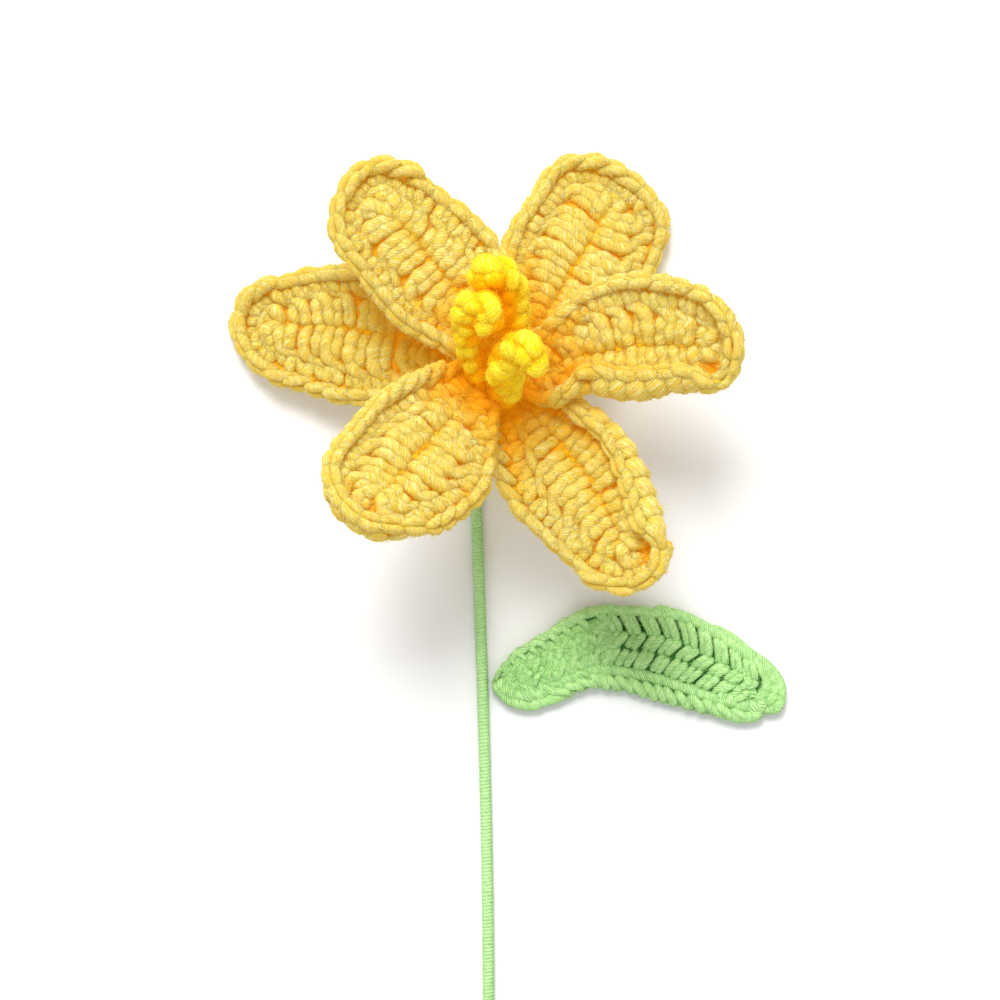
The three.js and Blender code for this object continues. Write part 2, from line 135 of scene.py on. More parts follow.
class Petal:
    """The form of one petal, from its numbers.

    az points it and sweep curves it sideways; pitch and roll tilt it, each at the base and at the tip.
    length, right, left and tip are flat sizes, and taper narrows it on the right and left. dome is how the
    face falls away from the seam; rim is how the border turns up at the base, right, tip and left, and fold
    moves a steep wall inwards. drop and off place it at the heart.
    """

    def __init__(self, az, sweep, length, right, left, pitch, roll, rim, dome, tip, taper, drop, off,
                 fold=1.2):
        self.az, self.sweep, self.length, self.right, self.left = az, sweep, length, right, left
        self.pitch, self.roll, self.rim = np.radians(pitch), np.radians(roll), rim
        self.dome, self.tip, self.taper, self.fold = dome, tip, taper, fold
        self.base = HEART - AXIS * drop + np.array([*off, 0.0])

    def spoke(self, h, side):
        """Where a spoke starts on the seam, its angle to the seam, and its flat length."""
        base, tip, h0, h1 = FOOT, self.tip, 0.1, 0.8
        half = np.where(side > 0, self.left, self.right)
        taper = np.where(side > 0, self.taper[1], self.taper[0])
        t = np.clip((h - h0) / (h1 - h0), 0, 1)
        foot = mix(base, self.length - tip, t)
        swell = 0.5 + 0.5 * np.sin(np.pi * np.minimum(0.5, 0.5 * t / 0.62)) ** 1.3
        body = half * swell * (1 - taper * np.clip((t - 0.4) / 0.6, 0, 1) ** 1.8)
        near, far = smooth(h / h0), (h - h1) / (1 - h1)
        angle = np.where(h < h0, mix(180, 104, near), np.where(h > h1, mix(76, 0, far), mix(104, 76, t)))
        end = mix(half * (1 - taper), tip, smooth(far))
        flat = np.where(h < h0, mix(base, half * 0.5, near), np.where(h > h1, end, body))
        return foot, np.radians(angle), np.maximum(flat, ROW + EDGE + 0.3)

    def post(self, h, side):
        return self.spoke(h, side)[2] - ROW - EDGE

    def along(self, x):
        """Direction of the petal's middle line at distance x from its base."""
        t = np.clip(x / self.length, 0, 1)
        return np.radians(self.az + self.sweep * (t - 0.3)), mix(self.pitch[0], self.pitch[1], t), t

    def turn(self, h, side):
        """How many degrees the border turns up, from the rim's four values round the petal."""
        base, right, tip, left = self.rim
        turn = mix(base, np.where(side > 0, left, right), smooth((h - 0.05) / 0.35))
        return mix(turn, tip, smooth((h - 0.72) / 0.22))

    def at(self, h, side, d, n):
        """Places (..., 3) of the petal in working millimetres."""
        h, side, d, n = np.broadcast_arrays(*(np.asarray(v, float) for v in (h, side, d, n)))
        foot, angle, flat = self.spoke(h, side)
        post = flat - ROW - EDGE
        turn, fall = self.turn(h, side), self.dome * smooth(h / 0.3)
        wall = smooth((turn - 80) / 40)
        ease, start = np.maximum(ROW + 0.6, 0.06 * (turn + fall)), post - mix(1.2, self.fold, wall)
        ease = mix(ease, 7.0, wall)

        def bend(v, post, turn, fall, ease, start):
            up = smooth((v - np.maximum(start, 0)) / ease)
            return np.radians(mix(-fall * smooth(v / np.maximum(post, 2)), turn, up))

        inner = bend(d[..., None] * STEPS, *(q[..., None] for q in (post, turn, fall, ease, start)))
        here = bend(d, post, turn, fall, ease, start)
        r = d * np.cos(inner).mean(-1) - n * np.sin(here)
        z = d * np.sin(inner).mean(-1) + n * np.cos(here)
        x, y = foot + r * np.cos(angle), side * r * np.sin(angle)
        az, pitch, _ = self.along(x[..., None] * STEPS)
        middle = [np.cos(az) * np.cos(pitch), np.sin(az) * np.cos(pitch), np.sin(pitch)]
        middle = np.stack([x * m.mean(-1) for m in middle], -1)
        az, pitch, t = self.along(x)
        left_way = np.stack([-np.sin(az), np.cos(az), 0 * az], -1)
        ahead = np.stack([np.cos(az) * np.cos(pitch), np.sin(az) * np.cos(pitch), np.sin(pitch)], -1)
        up = np.cross(ahead, left_way)
        roll = mix(self.roll[0], self.roll[1], t)[..., None]
        across = left_way * np.cos(roll) + up * np.sin(roll)
        normal = up * np.cos(roll) - left_way * np.sin(roll)
        return self.base + middle + across * y[..., None] + normal * z[..., None]

    def loop(self, c, d, n):
        """The same by the loop coordinate c: 0 at the base, 1 at the tip, 2 at the base again."""
        c = np.mod(c, 2)
        return self.at(np.where(c <= 1, c, 2 - c), np.where(c <= 1, 1.0, -1.0), d, n)

    def post_at(self, c):
        c = np.mod(c, 2)
        return self.post(np.where(c <= 1, c, 2 - c), np.where(c <= 1, 1.0, -1.0))


seams = {name: numbers["length"] - numbers["tip"] - FOOT for name, numbers in PETALS.items()}
print("seams, mm:", {name: round(seam, 1) for name, seam in seams.items()})

# %% [markdown]
# Deep in a hollow, light reaches the eye only after several bounces from dyed fibre, so the yarn there is
# painted in a stronger, darker colour as shade. To know where that is, rays are sent out from points just
# above the CAD surfaces; the share of them that run into something is how deep the place is.

# %% How deep a place lies
def unit(v):
    return v / np.maximum(np.linalg.norm(v, axis=-1, keepdims=True), 1e-9)


def form_tree():
    verts, faces, at = [], [], 0
    for ob in bpy.data.objects:
        if ob.type == "MESH":
            verts += [(ob.matrix_world @ v.co) / MM - Vector(MOVE) for v in ob.data.vertices]
            faces += [[at + i for i in p.vertices] for p in ob.data.polygons]
            at = len(verts)
    return BVHTree.FromPolygons([tuple(v) for v in verts], faces)


tree = form_tree()
RAYS, GOLDEN_ANGLE = 28, 2.399963
golden = np.arange(RAYS) * GOLDEN_ANGLE
lift = np.sqrt((np.arange(RAYS) + 0.5) / RAYS)
FAN = np.stack([lift * np.cos(golden), lift * np.sin(golden), np.sqrt(1 - lift**2)], -1)


def depth_at(points, normals, reach=LIGHT_WAY):
    """Share of rays blocked, 0 in the open and 1 in a pit, for (N, 3) points and unit normals."""
    helper = np.where(np.abs(normals[:, 2:]) < 0.8, [[0, 0, 1.0]], [[1.0, 0, 0]])
    a = unit(np.cross(normals, helper))
    b = np.cross(normals, a)
    ways = (FAN[:, 0, None] * a[:, None] + FAN[:, 1, None] * b[:, None]
            + FAN[:, 2, None] * normals[:, None])
    out = np.zeros(len(points))
    for i, (p, fan) in enumerate(zip(points.tolist(), ways.tolist())):
        blocked = 0.0
        for way in fan:
            hit = tree.ray_cast(p, way, reach)
            if hit[3] is not None:
                blocked += 1 - 0.5 * hit[3] / reach
        out[i] = blocked / len(fan)
    return out


def hollow_along(above, facing, few, samples, reach=LIGHT_WAY):
    """Depth at the `few` samples of each strand (S, F, 3), spread over all its samples: (S, samples)."""
    depth = depth_at(above.reshape(-1, 3), facing.reshape(-1, 3), reach).reshape(-1, len(few))
    return np.stack([np.interp(np.arange(samples), few, row) for row in depth])


print("rays to each place:", len(FAN))

# %% [markdown]
# A strand is a soft round cord. Its middle line is given by a few places that the hook would have pulled the
# yarn through; a smooth curve joins them. The cross-section is flattened a little against the cloth, since
# yarn squashes where it lies, and the ends dive into the cloth and narrow there.

# %% Strands of yarn
def curve(control, samples):
    """Catmull-Rom through control (S, C, k) at `samples` even steps: (S, samples, k)."""
    control = np.asarray(control, float)
    ends = [2 * control[:, :1] - control[:, 1:2], control, 2 * control[:, -1:] - control[:, -2:-1]]
    p = np.concatenate(ends, 1)
    t = np.linspace(0, control.shape[1] - 1, samples)
    i = np.minimum(t.astype(int), control.shape[1] - 2)
    f = (t - i)[None, :, None]
    a, b, c, d = p[:, i], p[:, i + 1], p[:, i + 2], p[:, i + 3]
    return 0.5 * (2 * b + (c - a) * f + (2 * a - 5 * b + 4 * c - d) * f**2 + (3 * b - a - 3 * c + d) * f**3)


print("a curve over 0, 1, 0:", curve([[[0.0], [1.0], [0.0]]], 5)[0, :, 0].round(2))


# %% [markdown]
# All strands of one piece are gathered in a skein, which then becomes one mesh. Cotton and acrylic yarn also
# has loose fibres. They are thin closed spikes on top of the strands, and they soften every outline.

# %% A skein of strands
def collar(root, tip, flow, away):
    """Three unit vectors round the foot of each fibre."""
    a = unit(np.cross(flow, away))
    b = unit(np.cross(tip - root, a))
    phi = 2 * np.pi * np.arange(3) / 3
    return a[:, None] * np.cos(phi)[:, None] + b[:, None] * np.sin(phi)[:, None]


class Skein:
    """Gathers strands, then makes one mesh of them."""

    def __init__(self):
        self.parts = []
        self.points = 0
        self.tops = []

    def add(self, verts, deep, hollow, quads, uv, caps):
        """Keeps vertices, their two shades, and faces numbered from this part's own first vertex."""
        caps = [c + self.points for c in caps]
        self.parts.append((verts, np.clip(deep, 0, 1), np.clip(hollow, 0, 1), quads + self.points, uv, caps))
        self.points += len(verts)

    def lay(self, line, normal, radius, shade, hollow=None, sides=10, wide=1.08, tall=0.92, ends=0.55,
            flank=0.5, fluffy=True):
        """Strands along line (S, K, 3), flattened along normal, with radius, shade and hollow (S, K).

        shade is painted shade, 0 on top of the cloth and 1 deep in it; flank adds more painted shade down the
        strand's own sides. The hollow values are painted shade from the hollows of the flower.
        """
        S, K, _ = line.shape
        radius = radius.copy()
        radius[:, [0, -1]] *= ends
        hollow = np.zeros((S, K)) if hollow is None else hollow
        tangent = unit(np.gradient(line, axis=1))
        side = unit(np.cross(tangent, normal))
        up = np.cross(side, tangent)
        phi = 2 * np.pi * np.arange(sides) / sides - np.pi / 2
        out = side[:, :, None] * (np.cos(phi) * wide)[:, None]
        out = out + up[:, :, None] * (np.sin(phi) * tall)[:, None]
        uneven = 1 + rng.normal(0, 0.035, (S, K, sides, 1))
        verts = line[:, :, None] + out * radius[:, :, None, None] * uneven
        # painted shade: the strand's lower sides are coloured darker, as where strands meet
        deep = shade[:, :, None] + flank * (1 - np.sin(phi)) ** 1.5 / 2
        steps = np.linalg.norm(np.diff(line, axis=1), axis=2)
        run = np.concatenate([np.zeros((S, 1)), np.cumsum(steps, 1)], 1)
        s, k, j = np.meshgrid(np.arange(S), np.arange(K - 1), np.arange(sides), indexing="ij")
        at = lambda kk, jj: (s * K + kk) * sides + jj % sides
        quads = np.stack([at(k, j), at(k + 1, j), at(k + 1, j + 1), at(k, j + 1)], -1).reshape(-1, 4)
        u0, u1 = j / sides, (j + 1) / sides
        v = (run + rng.uniform(0, UV_STEP, S)[:, None]) / UV_STEP
        v0, v1 = np.broadcast_to(v[:, :-1, None], j.shape), np.broadcast_to(v[:, 1:, None], j.shape)
        uv = np.stack([u0, v0, u0, v1, u1, v1, u1, v0], -1).reshape(-1, 2)
        first = np.arange(S)[:, None] * K * sides + np.arange(sides)
        caps = [first, first[:, ::-1] + (K - 1) * sides]
        flat = lambda a: a.reshape(-1, *a.shape[3:])
        self.add(flat(verts), flat(deep), np.repeat(hollow.ravel(), sides), quads, uv, caps)
        if fluffy:
            rows, ring = slice(1, K - 1), np.sin(phi) > 0.1
            along = np.broadcast_to(tangent[:, rows, None], verts[:, rows, ring].shape)
            away = unit(out[:, rows, ring])
            dim = np.broadcast_to(hollow[:, rows, None], verts[:, rows, ring].shape[:3])
            lit = np.broadcast_to(shade[:, rows, None] < 0.42, dim.shape)
            self.tops.append([flat(a)[flat(lit)] for a in (verts[:, rows, ring], away, along, dim)])
        return self

    def roots(self, count):
        """Random places on top of the strands: the place, the ways out and along, and how hollow it is."""
        fields = [np.concatenate(a) for a in zip(*self.tops)]
        pick = rng.integers(0, len(fields[0]), count)
        return [field[pick] for field in fields]

    def fluff(self, count, length=1.9, lift=0.42, thick=0.045):
        """Loose fibres: each a thin closed taper that leaves the strand and bends back along it."""
        root, away, along, dim = self.roots(count)
        long = length * rng.uniform(0.5, 1.3, (count, 1))
        sway = rng.normal(0, 0.45, (count, 3))
        flow = unit(along * rng.choice([-1, 1], (count, 1)) + sway)
        root = root - away * 0.06 + along * rng.uniform(-0.4, 0.4, (count, 1))
        middle = root + (flow * 0.45 + away * lift * rng.uniform(0.3, 1.1, (count, 1))) * long * 0.8
        tip = root + (flow * 0.95 + away * lift * rng.uniform(0.1, 1.2, (count, 1))) * long
        ring = collar(root, tip, flow, away) * thick
        verts = np.concatenate([root[:, None] + ring, middle[:, None] + ring * 0.8, tip[:, None]], 1)
        base = 7 * np.arange(count)[:, None]
        j, j2 = np.arange(3), (np.arange(3) + 1) % 3
        quads = np.stack([base + j, base + j2, base + 3 + j2, base + 3 + j], -1).reshape(-1, 4)
        points = np.stack([base + 3 + j, base + 3 + j2, base + 6 + 0 * j], -1).reshape(-1, 3)
        uv = np.repeat(rng.uniform(0, 1, (count, 1, 2)), 12, 1).reshape(-1, 2)
        deep, hollow = np.zeros(7 * count), np.repeat(dim, 7)
        self.add(verts.reshape(-1, 3), deep, hollow, quads, uv, [base + [2, 1, 0], points])
        return self

    def fuzz(self, count, length=1.1, lift=0.3, thick=0.05):
        """Short straight fibres, each a closed spike, that blur the outline of the strands."""
        root, away, along, dim = self.roots(count)
        flow = unit(along * rng.choice([-1, 1], (count, 1)) + rng.normal(0, 0.5, (count, 3)))
        root = root - away * 0.08 + along * rng.uniform(-0.4, 0.4, (count, 1))
        long = length * rng.uniform(0.5, 1.3, (count, 1))
        tip = root + (flow + away * lift * rng.uniform(0.2, 1.3, (count, 1))) * long
        ring = collar(root, tip, flow, away) * thick
        verts = np.concatenate([root[:, None] + ring, tip[:, None]], 1).reshape(-1, 3)
        base = 4 * np.arange(count)[:, None]
        faces = [base + [2, 1, 0], base + [0, 1, 3], base + [1, 2, 3], base + [2, 0, 3]]
        no_quads = np.zeros((0, 4), int)
        self.add(verts, np.zeros(4 * count), np.repeat(dim, 4), no_quads, np.zeros((0, 2)), faces)
        return self

    def mesh(self, name):
        """One mesh object of all that was laid."""
        verts, deep, hollow = (np.concatenate([p[i] for p in self.parts]) for i in range(3))
        loops, totals, uvs = [], [], []
        for _, _, _, quads, uv, caps in self.parts:
            for faces, where in [(quads, uv)] + [(ring, np.zeros((ring.size, 2))) for ring in caps]:
                loops.append(faces.ravel())
                uvs.append(where)
                totals.append(np.full(len(faces), faces.shape[1]))
        faces = [np.concatenate(a) for a in (loops, totals, uvs)]
        return make_mesh(name, verts, *faces, deep, hollow)


print("skein ready")

# %% [markdown]
# Blender takes a mesh fastest as whole arrays: all places, then the vertex number of every corner, then the
# size of every face. Two numbers of painted shade ride on each vertex for the shader: how deep it lies in the
# cloth, and how deep the cloth there lies in the flower.

# %% From arrays to a mesh
SURFACE_GAP = 0.00002  # metres between the lowest yarn and the surface under it


def make_mesh(name, verts, loops, totals, uvs, deep, hollow):
    """verts in working millimetres. Nothing goes below the surface that the flower lies on."""
    place = (verts + MOVE) * MM
    place[:, 2] = np.maximum(place[:, 2], SURFACE_GAP)
    starts = np.concatenate([[0], np.cumsum(totals)[:-1]])
    me = bpy.data.meshes.new(name)
    me.vertices.add(len(place))
    me.vertices.foreach_set("co", place.astype(np.float32).ravel())
    me.loops.add(len(loops))
    me.loops.foreach_set("vertex_index", loops.astype(np.int32))
    me.polygons.add(len(starts))
    me.polygons.foreach_set("loop_start", starts.astype(np.int32))
    me.polygons.foreach_set("loop_total", totals.astype(np.int32))
    me.polygons.foreach_set("use_smooth", np.ones(len(starts), bool))
    me.update(calc_edges=True)
    me.uv_layers.new(name="yarn").data.foreach_set("uv", uvs.astype(np.float32).ravel())
    # painted shade: deep is shade within the cloth, hollow is shade from the flower's hollows
    for label, values in (("deep", deep), ("hollow", hollow)):
        me.attributes.new(label, "FLOAT", "POINT").data.foreach_set("value", values.astype(np.float32))
    me.validate()
    ob = bpy.data.objects.new(name, me)
    bpy.context.scene.collection.objects.link(ob)
    print(f"{name}: {int((totals - 2).sum())} triangles")
    return ob


print("mesh maker ready, lowest place in m:", SURFACE_GAP)

# %% [markdown]
# Shaders are written as sums. One small class wraps a node socket so that ordinary arithmetic adds the Math
# nodes. Another makes every other kind of node, and knows the few that come again: noise, ramp, blend.

# %% Shader arithmetic
class Shader:
    def __init__(self, name):
        self.material = bpy.data.materials.new(name)
        self.material.use_nodes = True
        self.tree = self.material.node_tree
        self.tree.nodes.clear()

    def node(self, kind, settings=None, **sockets):
        n = self.tree.nodes.new(kind)
        for key, value in (settings or {}).items():
            setattr(n, key, value)
        for key, value in sockets.items():
            numbered = key[0] == "_" and key[1:].isdigit()
            socket = n.inputs[int(key[1:]) if numbered else key.replace("_", " ")]
            if isinstance(value, Value):
                self.tree.links.new(value.socket, socket)
            elif isinstance(value, bpy.types.NodeSocket):
                self.tree.links.new(value, socket)
            else:
                socket.default_value = value
        return n

    def value(self, socket):
        return Value(self, socket)

    def attribute(self, name):
        return self.value(self.node("ShaderNodeAttribute", dict(attribute_name=name)).outputs["Fac"])

    def blend(self, factor, a, b):
        n = self.node("ShaderNodeMix", dict(data_type="RGBA", blend_type="MIX"), _0=factor, _6=a, _7=b)
        return n.outputs[2]

    def noise(self, vector, scale, detail=2.0, rough=0.5):
        n = self.node("ShaderNodeTexNoise", Vector=vector, Scale=scale, Detail=detail, Roughness=rough)
        return self.value(n.outputs[0])

    def ramp(self, factor, *stops):
        n = self.node("ShaderNodeValToRGB", Fac=factor)
        while len(n.color_ramp.elements) < len(stops):
            n.color_ramp.elements.new(0.5)
        for e, (at, colour) in zip(n.color_ramp.elements, stops):
            e.position, e.color = at, (*colour, 1)
        return n.outputs[0]

    def done(self, surface):
        out = self.node("ShaderNodeOutputMaterial")
        self.tree.links.new(surface.outputs[0], out.inputs[0])
        return self.material


class Value:
    def __init__(self, shader, socket):
        self.shader, self.socket = shader, socket

    def math(self, operation, other=None, clamp=False):
        sockets = {"_0": self} if other is None else {"_0": self, "_1": other}
        n = self.shader.node("ShaderNodeMath", dict(operation=operation, use_clamp=clamp), **sockets)
        return Value(self.shader, n.outputs[0])

    def __add__(self, o): return self.math("ADD", o)
    __radd__ = __add__
    def __mul__(self, o): return self.math("MULTIPLY", o)
    __rmul__ = __mul__
    def __sub__(self, o): return self.math("SUBTRACT", o)
    def __rsub__(self, o): return (self * -1.0) + o
    def __pow__(self, o): return self.math("POWER", o)
    def clamped(self): return self.math("ADD", 0.0, clamp=True)
    def sin(self): return self.math("SINE")


print("shader sums ready")

# %% [markdown]
# Spun yarn is many fine threads twisted together: they run slantwise round the strand. The grooves between
# them, and the places between stitches, are painted darker and more saturated as shade, because light that
# gets in there meets dyed fibre several times. In the hollows of the flower the same painted shade is laid on
# a larger scale. Pale streaks along the fibres are partly the fibres' own tone and partly painted highlight.
# On the yellow yarns a weak painted glow, stronger in the creases, stands for the light that bright yarn
# passes on inside itself.

# %% The yarn material
OPEN_GLOW, CREASE_GLOW = (0.68, 0.30, 0.004, 1), (1.3, 0.54, 0.0, 1)  # on top of the yarn, in its creases


def yarn(name, pale, body, deep, hollow_shade_colour, threads=9, pitch=8.5, relief=0.00016, patch=0.2, soft=0.4, sheen=0.08,
         groove_shade=0.06, wander=2.2, glow=0.0, bite=1.3, depth=0.75):
    """pale, body and deep are the yarn's colours from its top to its creases, warm that of a hollow.

    `threads` threads run round the strand, once in `pitch` mm, and stand about `relief` m high. The ramp from
    pale to deep is painted shade, the colour for a hollow is painted shade for the flower's hollows, and glow
    is a painted glow.
    """
    s = Shader(name)
    uv = s.node("ShaderNodeUVMap", dict(uv_map="yarn")).outputs[0]
    xyz = s.node("ShaderNodeSeparateXYZ", _0=uv)
    u, v = s.value(xyz.outputs[0]), s.value(xyz.outputs[1])
    where = s.node("ShaderNodeTexCoord").outputs["Object"]
    ply = u * float(threads) + v * (UV_STEP * threads / pitch)
    stray = (s.noise(where, 500.0) - 0.5) * wander
    thread = ((ply * (2 * math.pi)) + stray).sin() * 0.5 + 0.5
    # pale streaks: partly the fibres' own tone, partly painted highlight; they also raise the bump
    hair_x, hair_z = ply * 3.0 + stray * 0.5, s.noise(where, 60.0) * 6.0
    hair_place = s.node("ShaderNodeCombineXYZ", _0=hair_x, _1=v * 9.0, _2=hair_z)
    fibre = s.noise(hair_place.outputs[0], 1.0, 2.0, 0.6)
    streak_and_glint = (fibre - 0.5) * 2.6
    cloud = s.noise(where, 60.0)
    # painted shade: the colour darkens and saturates with depth in the cloth, down the strands' lower sides
    # and in the grooves between threads
    down = s.attribute("deep")
    hollow = s.attribute("hollow")
    reach = ((hollow - 0.18) * 2.8).clamped()
    shade = down ** bite * depth + (1.0 - thread) * groove_shade + 0.18 - streak_and_glint * 0.5
    shade = (shade + (cloud - 0.5) * patch + reach * 0.45).clamped()
    colour = s.ramp(shade, (0.0, pale), (0.32, body), (0.95, deep))
    # painted hollow shade: deep in the flower the colour moves towards the hollow colour
    colour = s.blend((reach * 0.8 - streak_and_glint * reach * 0.5).clamped(), colour, (*hollow_shade_colour, 1))
    bump = s.node("ShaderNodeBump", Strength=1.0, Distance=relief, Height=thread * 0.5 + streak_and_glint * 0.8)
    rough = (0.78 + (fibre - 0.5) * 0.2).clamped()
    shader = s.node("ShaderNodeBsdfPrincipled", Base_Color=colour, Roughness=rough, Normal=bump.outputs[0])
    shader.inputs["Specular IOR Level"].default_value = 0.08
    shader.inputs["Sheen Weight"].default_value = sheen
    shader.inputs["Sheen Roughness"].default_value = 0.4
    shader.inputs["Sheen Tint"].default_value = (*pale, 1)
    # painted glow: the yarn gives off light, stronger in the creases, in place of light passed on inside it
    if glow:
        ember = s.blend(shade, OPEN_GLOW, CREASE_GLOW)
        s.tree.links.new(ember, shader.inputs["Emission Color"])
        shader.inputs["Emission Strength"].default_value = glow
    if soft:
        shader.inputs["Subsurface Weight"].default_value = soft
        shader.inputs["Subsurface Radius"].default_value = (1.0, 0.5, 0.1)
        shader.inputs["Subsurface Scale"].default_value = 0.002
    return s.done(shader)


petal_yarn = yarn(
    "petal_yarn", pale=(0.79, 0.765, 0.34), body=(0.625, 0.487, 0.070), deep=(0.80, 0.375, 0.006),
    hollow_shade_colour=(0.81, 0.295, 0.0), threads=10, pitch=6.0, relief=0.0002, groove_shade=0.13, sheen=0.04, soft=0.55,
    glow=0.15, bite=1.15, depth=0.82)
print("petal yarn made")

# %% [markdown]
# Strands are spread round a petal by length, not by angle, so they crowd nowhere. Each is laid over the
# petal's form a little unevenly, and rays from five of its places tell how deep in the flower it lies, which
# sets its painted hollow shade.

# %% Laying strands on a petal
def spread(petal, count, reach):
    """`count` even places round the petal, and how a step in mm from them changes the loop coordinate."""
    c = np.linspace(0, 2, 801)
    line = petal.loop(c, reach(petal.post_at(c)), 0 * c)
    run = np.concatenate([[0], np.cumsum(np.linalg.norm(np.diff(line, axis=0), axis=1))])
    own = (np.arange(count) + 0.5) / count * run[-1] + rng.uniform(-0.12, 0.12, count) * run[-1] / count

    def to_loop(step):
        c_at = np.interp(np.mod(own[:, None] + step, run[-1]), run, c)
        jump = c_at - c_at[:, :1]
        return np.where(jump > 1, c_at - 2, np.where(jump < -1, c_at + 2, c_at))

    return np.interp(own, run, c), run[-1] / count, to_loop


LUMP = 3.2  # mm from one swelling of a tall stitch to the next


def lay_on(skein, petal, c, d, n, r, samples, back=False, outward=0.0, lumps=0.0, **how):
    """c, d, n, r (S, C): loop coordinate, distance out, height over the cloth's middle, radius.

    `outward` is how far the strand looks away from the petal's face, 1 for the chained edge.
    """
    full = np.stack(np.broadcast_arrays(c, d, n, r), -1)
    c, d, n, r = np.moveaxis(curve(full, samples), -1, 0)
    sign = -1 if back else 1
    beat = lumps * np.sin(2 * np.pi * d / LUMP + rng.uniform(0, 2 * np.pi, (len(d), 1)))
    d, n, r = np.maximum(d, 0), n + beat, r * (1 + 0.5 * beat)
    wave = 0.22 * np.sin(7.3 * c + 0.6 * d) * smooth(d / 3)
    line = petal.loop(c, d, sign * n + wave)
    normal = unit(petal.loop(c, d, sign * (n + 0.5) + wave) - line)
    few = np.linspace(0, samples - 1, 5).astype(int)
    above = petal.loop(c[:, few], d[:, few] + 3.2 * outward, sign * (3.0 - 2.0 * outward))
    facing = unit(above - line[:, few])
    # painted hollow shade from the rays, held low on the back and raised a little round the heart
    hollow = hollow_along(above, facing, few, samples)
    if back:
        hollow = np.minimum(hollow, 0.2)
    to_heart = np.linalg.norm((line - HEART)[..., :2], axis=-1)
    hollow = hollow + 0.08 * np.exp(-((to_heart / 15) ** 2))
    # painted shade: strands lower in the cloth are darker, the chained edge less so
    shade = np.clip((1.1 - n) / 2.2, 0, 1) * (0.8 - 0.5 * outward)
    skein.lay(line, normal, np.maximum(r, 0.2), shade, hollow, **how)


print("rays to a strand:", 5 * RAYS)

# %% [markdown]
# The face of a petal is two columns of tall stitches, one on each side of the seam, fanning round the tip.
# Each stitch is a pair of strands: a plump one that starts under the seam, swells and hooks round the outer
# end of the thinner one beside it. The back is worked the same way, a little thinner.
#
# A strand is written as its path: how far it steps round the petal, how far out from the seam it is, how high
# over the middle of the cloth, and how thick. A little chance in each keeps two stitches from being alike.

# %% Tall stitches
def tall_stitches(skein, petal, count=TALL):
    """Pairs of plump strands from the seam out. The first of each pair hooks round the end of the second."""
    places, pitch, to_loop = spread(petal, count, lambda post: np.maximum(post * 0.72, 0.5))
    post = petal.post_at(places)[:, None]
    jig = lambda size: rng.uniform(-size, size, (count, 1))
    fan = smooth((1 - np.abs(places - 1) - 0.8) / 0.1)[:, None]
    for back in (False, True):
        plump = 0.92 if back else 1.0
        shared, rise, reach = jig(0.5), jig(0.2), 1 + jig(0.05)
        step = np.array([0.22, 0.23, 0.22, 0.10, -0.20, -0.56, -0.90]) * pitch
        step = step + shared * [0, 0.5, 1, 1, 1, 1, 1] + jig(0.2)
        d = post * np.array([-0.02, 0.16, 0.46, 0.74, 0.92, 0.99, 1.0]) * reach
        d = d + np.array([0, 0, 0, 0, 0, 0.2, 0.8])
        d = d + post * fan * np.array([0.14, 0.10, 0.04, 0, 0, 0, 0]) + jig(0.2)
        n = np.array([-0.9, 0.9, 1.4, 1.5, 1.55, 1.3, -0.1]) + rise + jig(0.15)
        r = np.array([0.95, 1.38, 1.55, 1.45, 1.22, 1.1, 0.8]) * (1 + jig(0.1)) * plump
        r = np.minimum(r, 0.3 + post * 0.30)
        lay_on(skein, petal, to_loop(step), d, n, r, 18, back, lumps=0.18, flank=0.85)
        step = np.array([-0.23, -0.23, -0.23, -0.25, -0.28]) * pitch + shared * [0, 0.5, 1, 1, 1] + jig(0.2)
        d = post * np.array([-0.02, 0.15, 0.42, 0.68, 0.86]) * reach
        d = d + post * fan * [0.5, 0.42, 0.26, 0.1, 0] + jig(0.3)
        n = np.array([-0.9, 0.7, 1.15, 1.1, -0.1]) + rise + jig(0.25)
        r = np.array([0.95, 1.3, 1.42, 1.36, 0.95]) * (1 + jig(0.12)) * plump
        r = np.minimum(r, 0.3 + post * 0.29)
        lay_on(skein, petal, to_loop(step), d, n, r, 13, back, lumps=0.18, flank=0.85)


print("strands in a petal's tall stitches:", 4 * TALL)

# %% [markdown]
# Round the tall stitches runs a row of short V stitches. On the face stand the two legs of each V; on the
# back one flat lump covers both, with two short legs at its foot. The chained edge lies on top, one arm to a
# side.

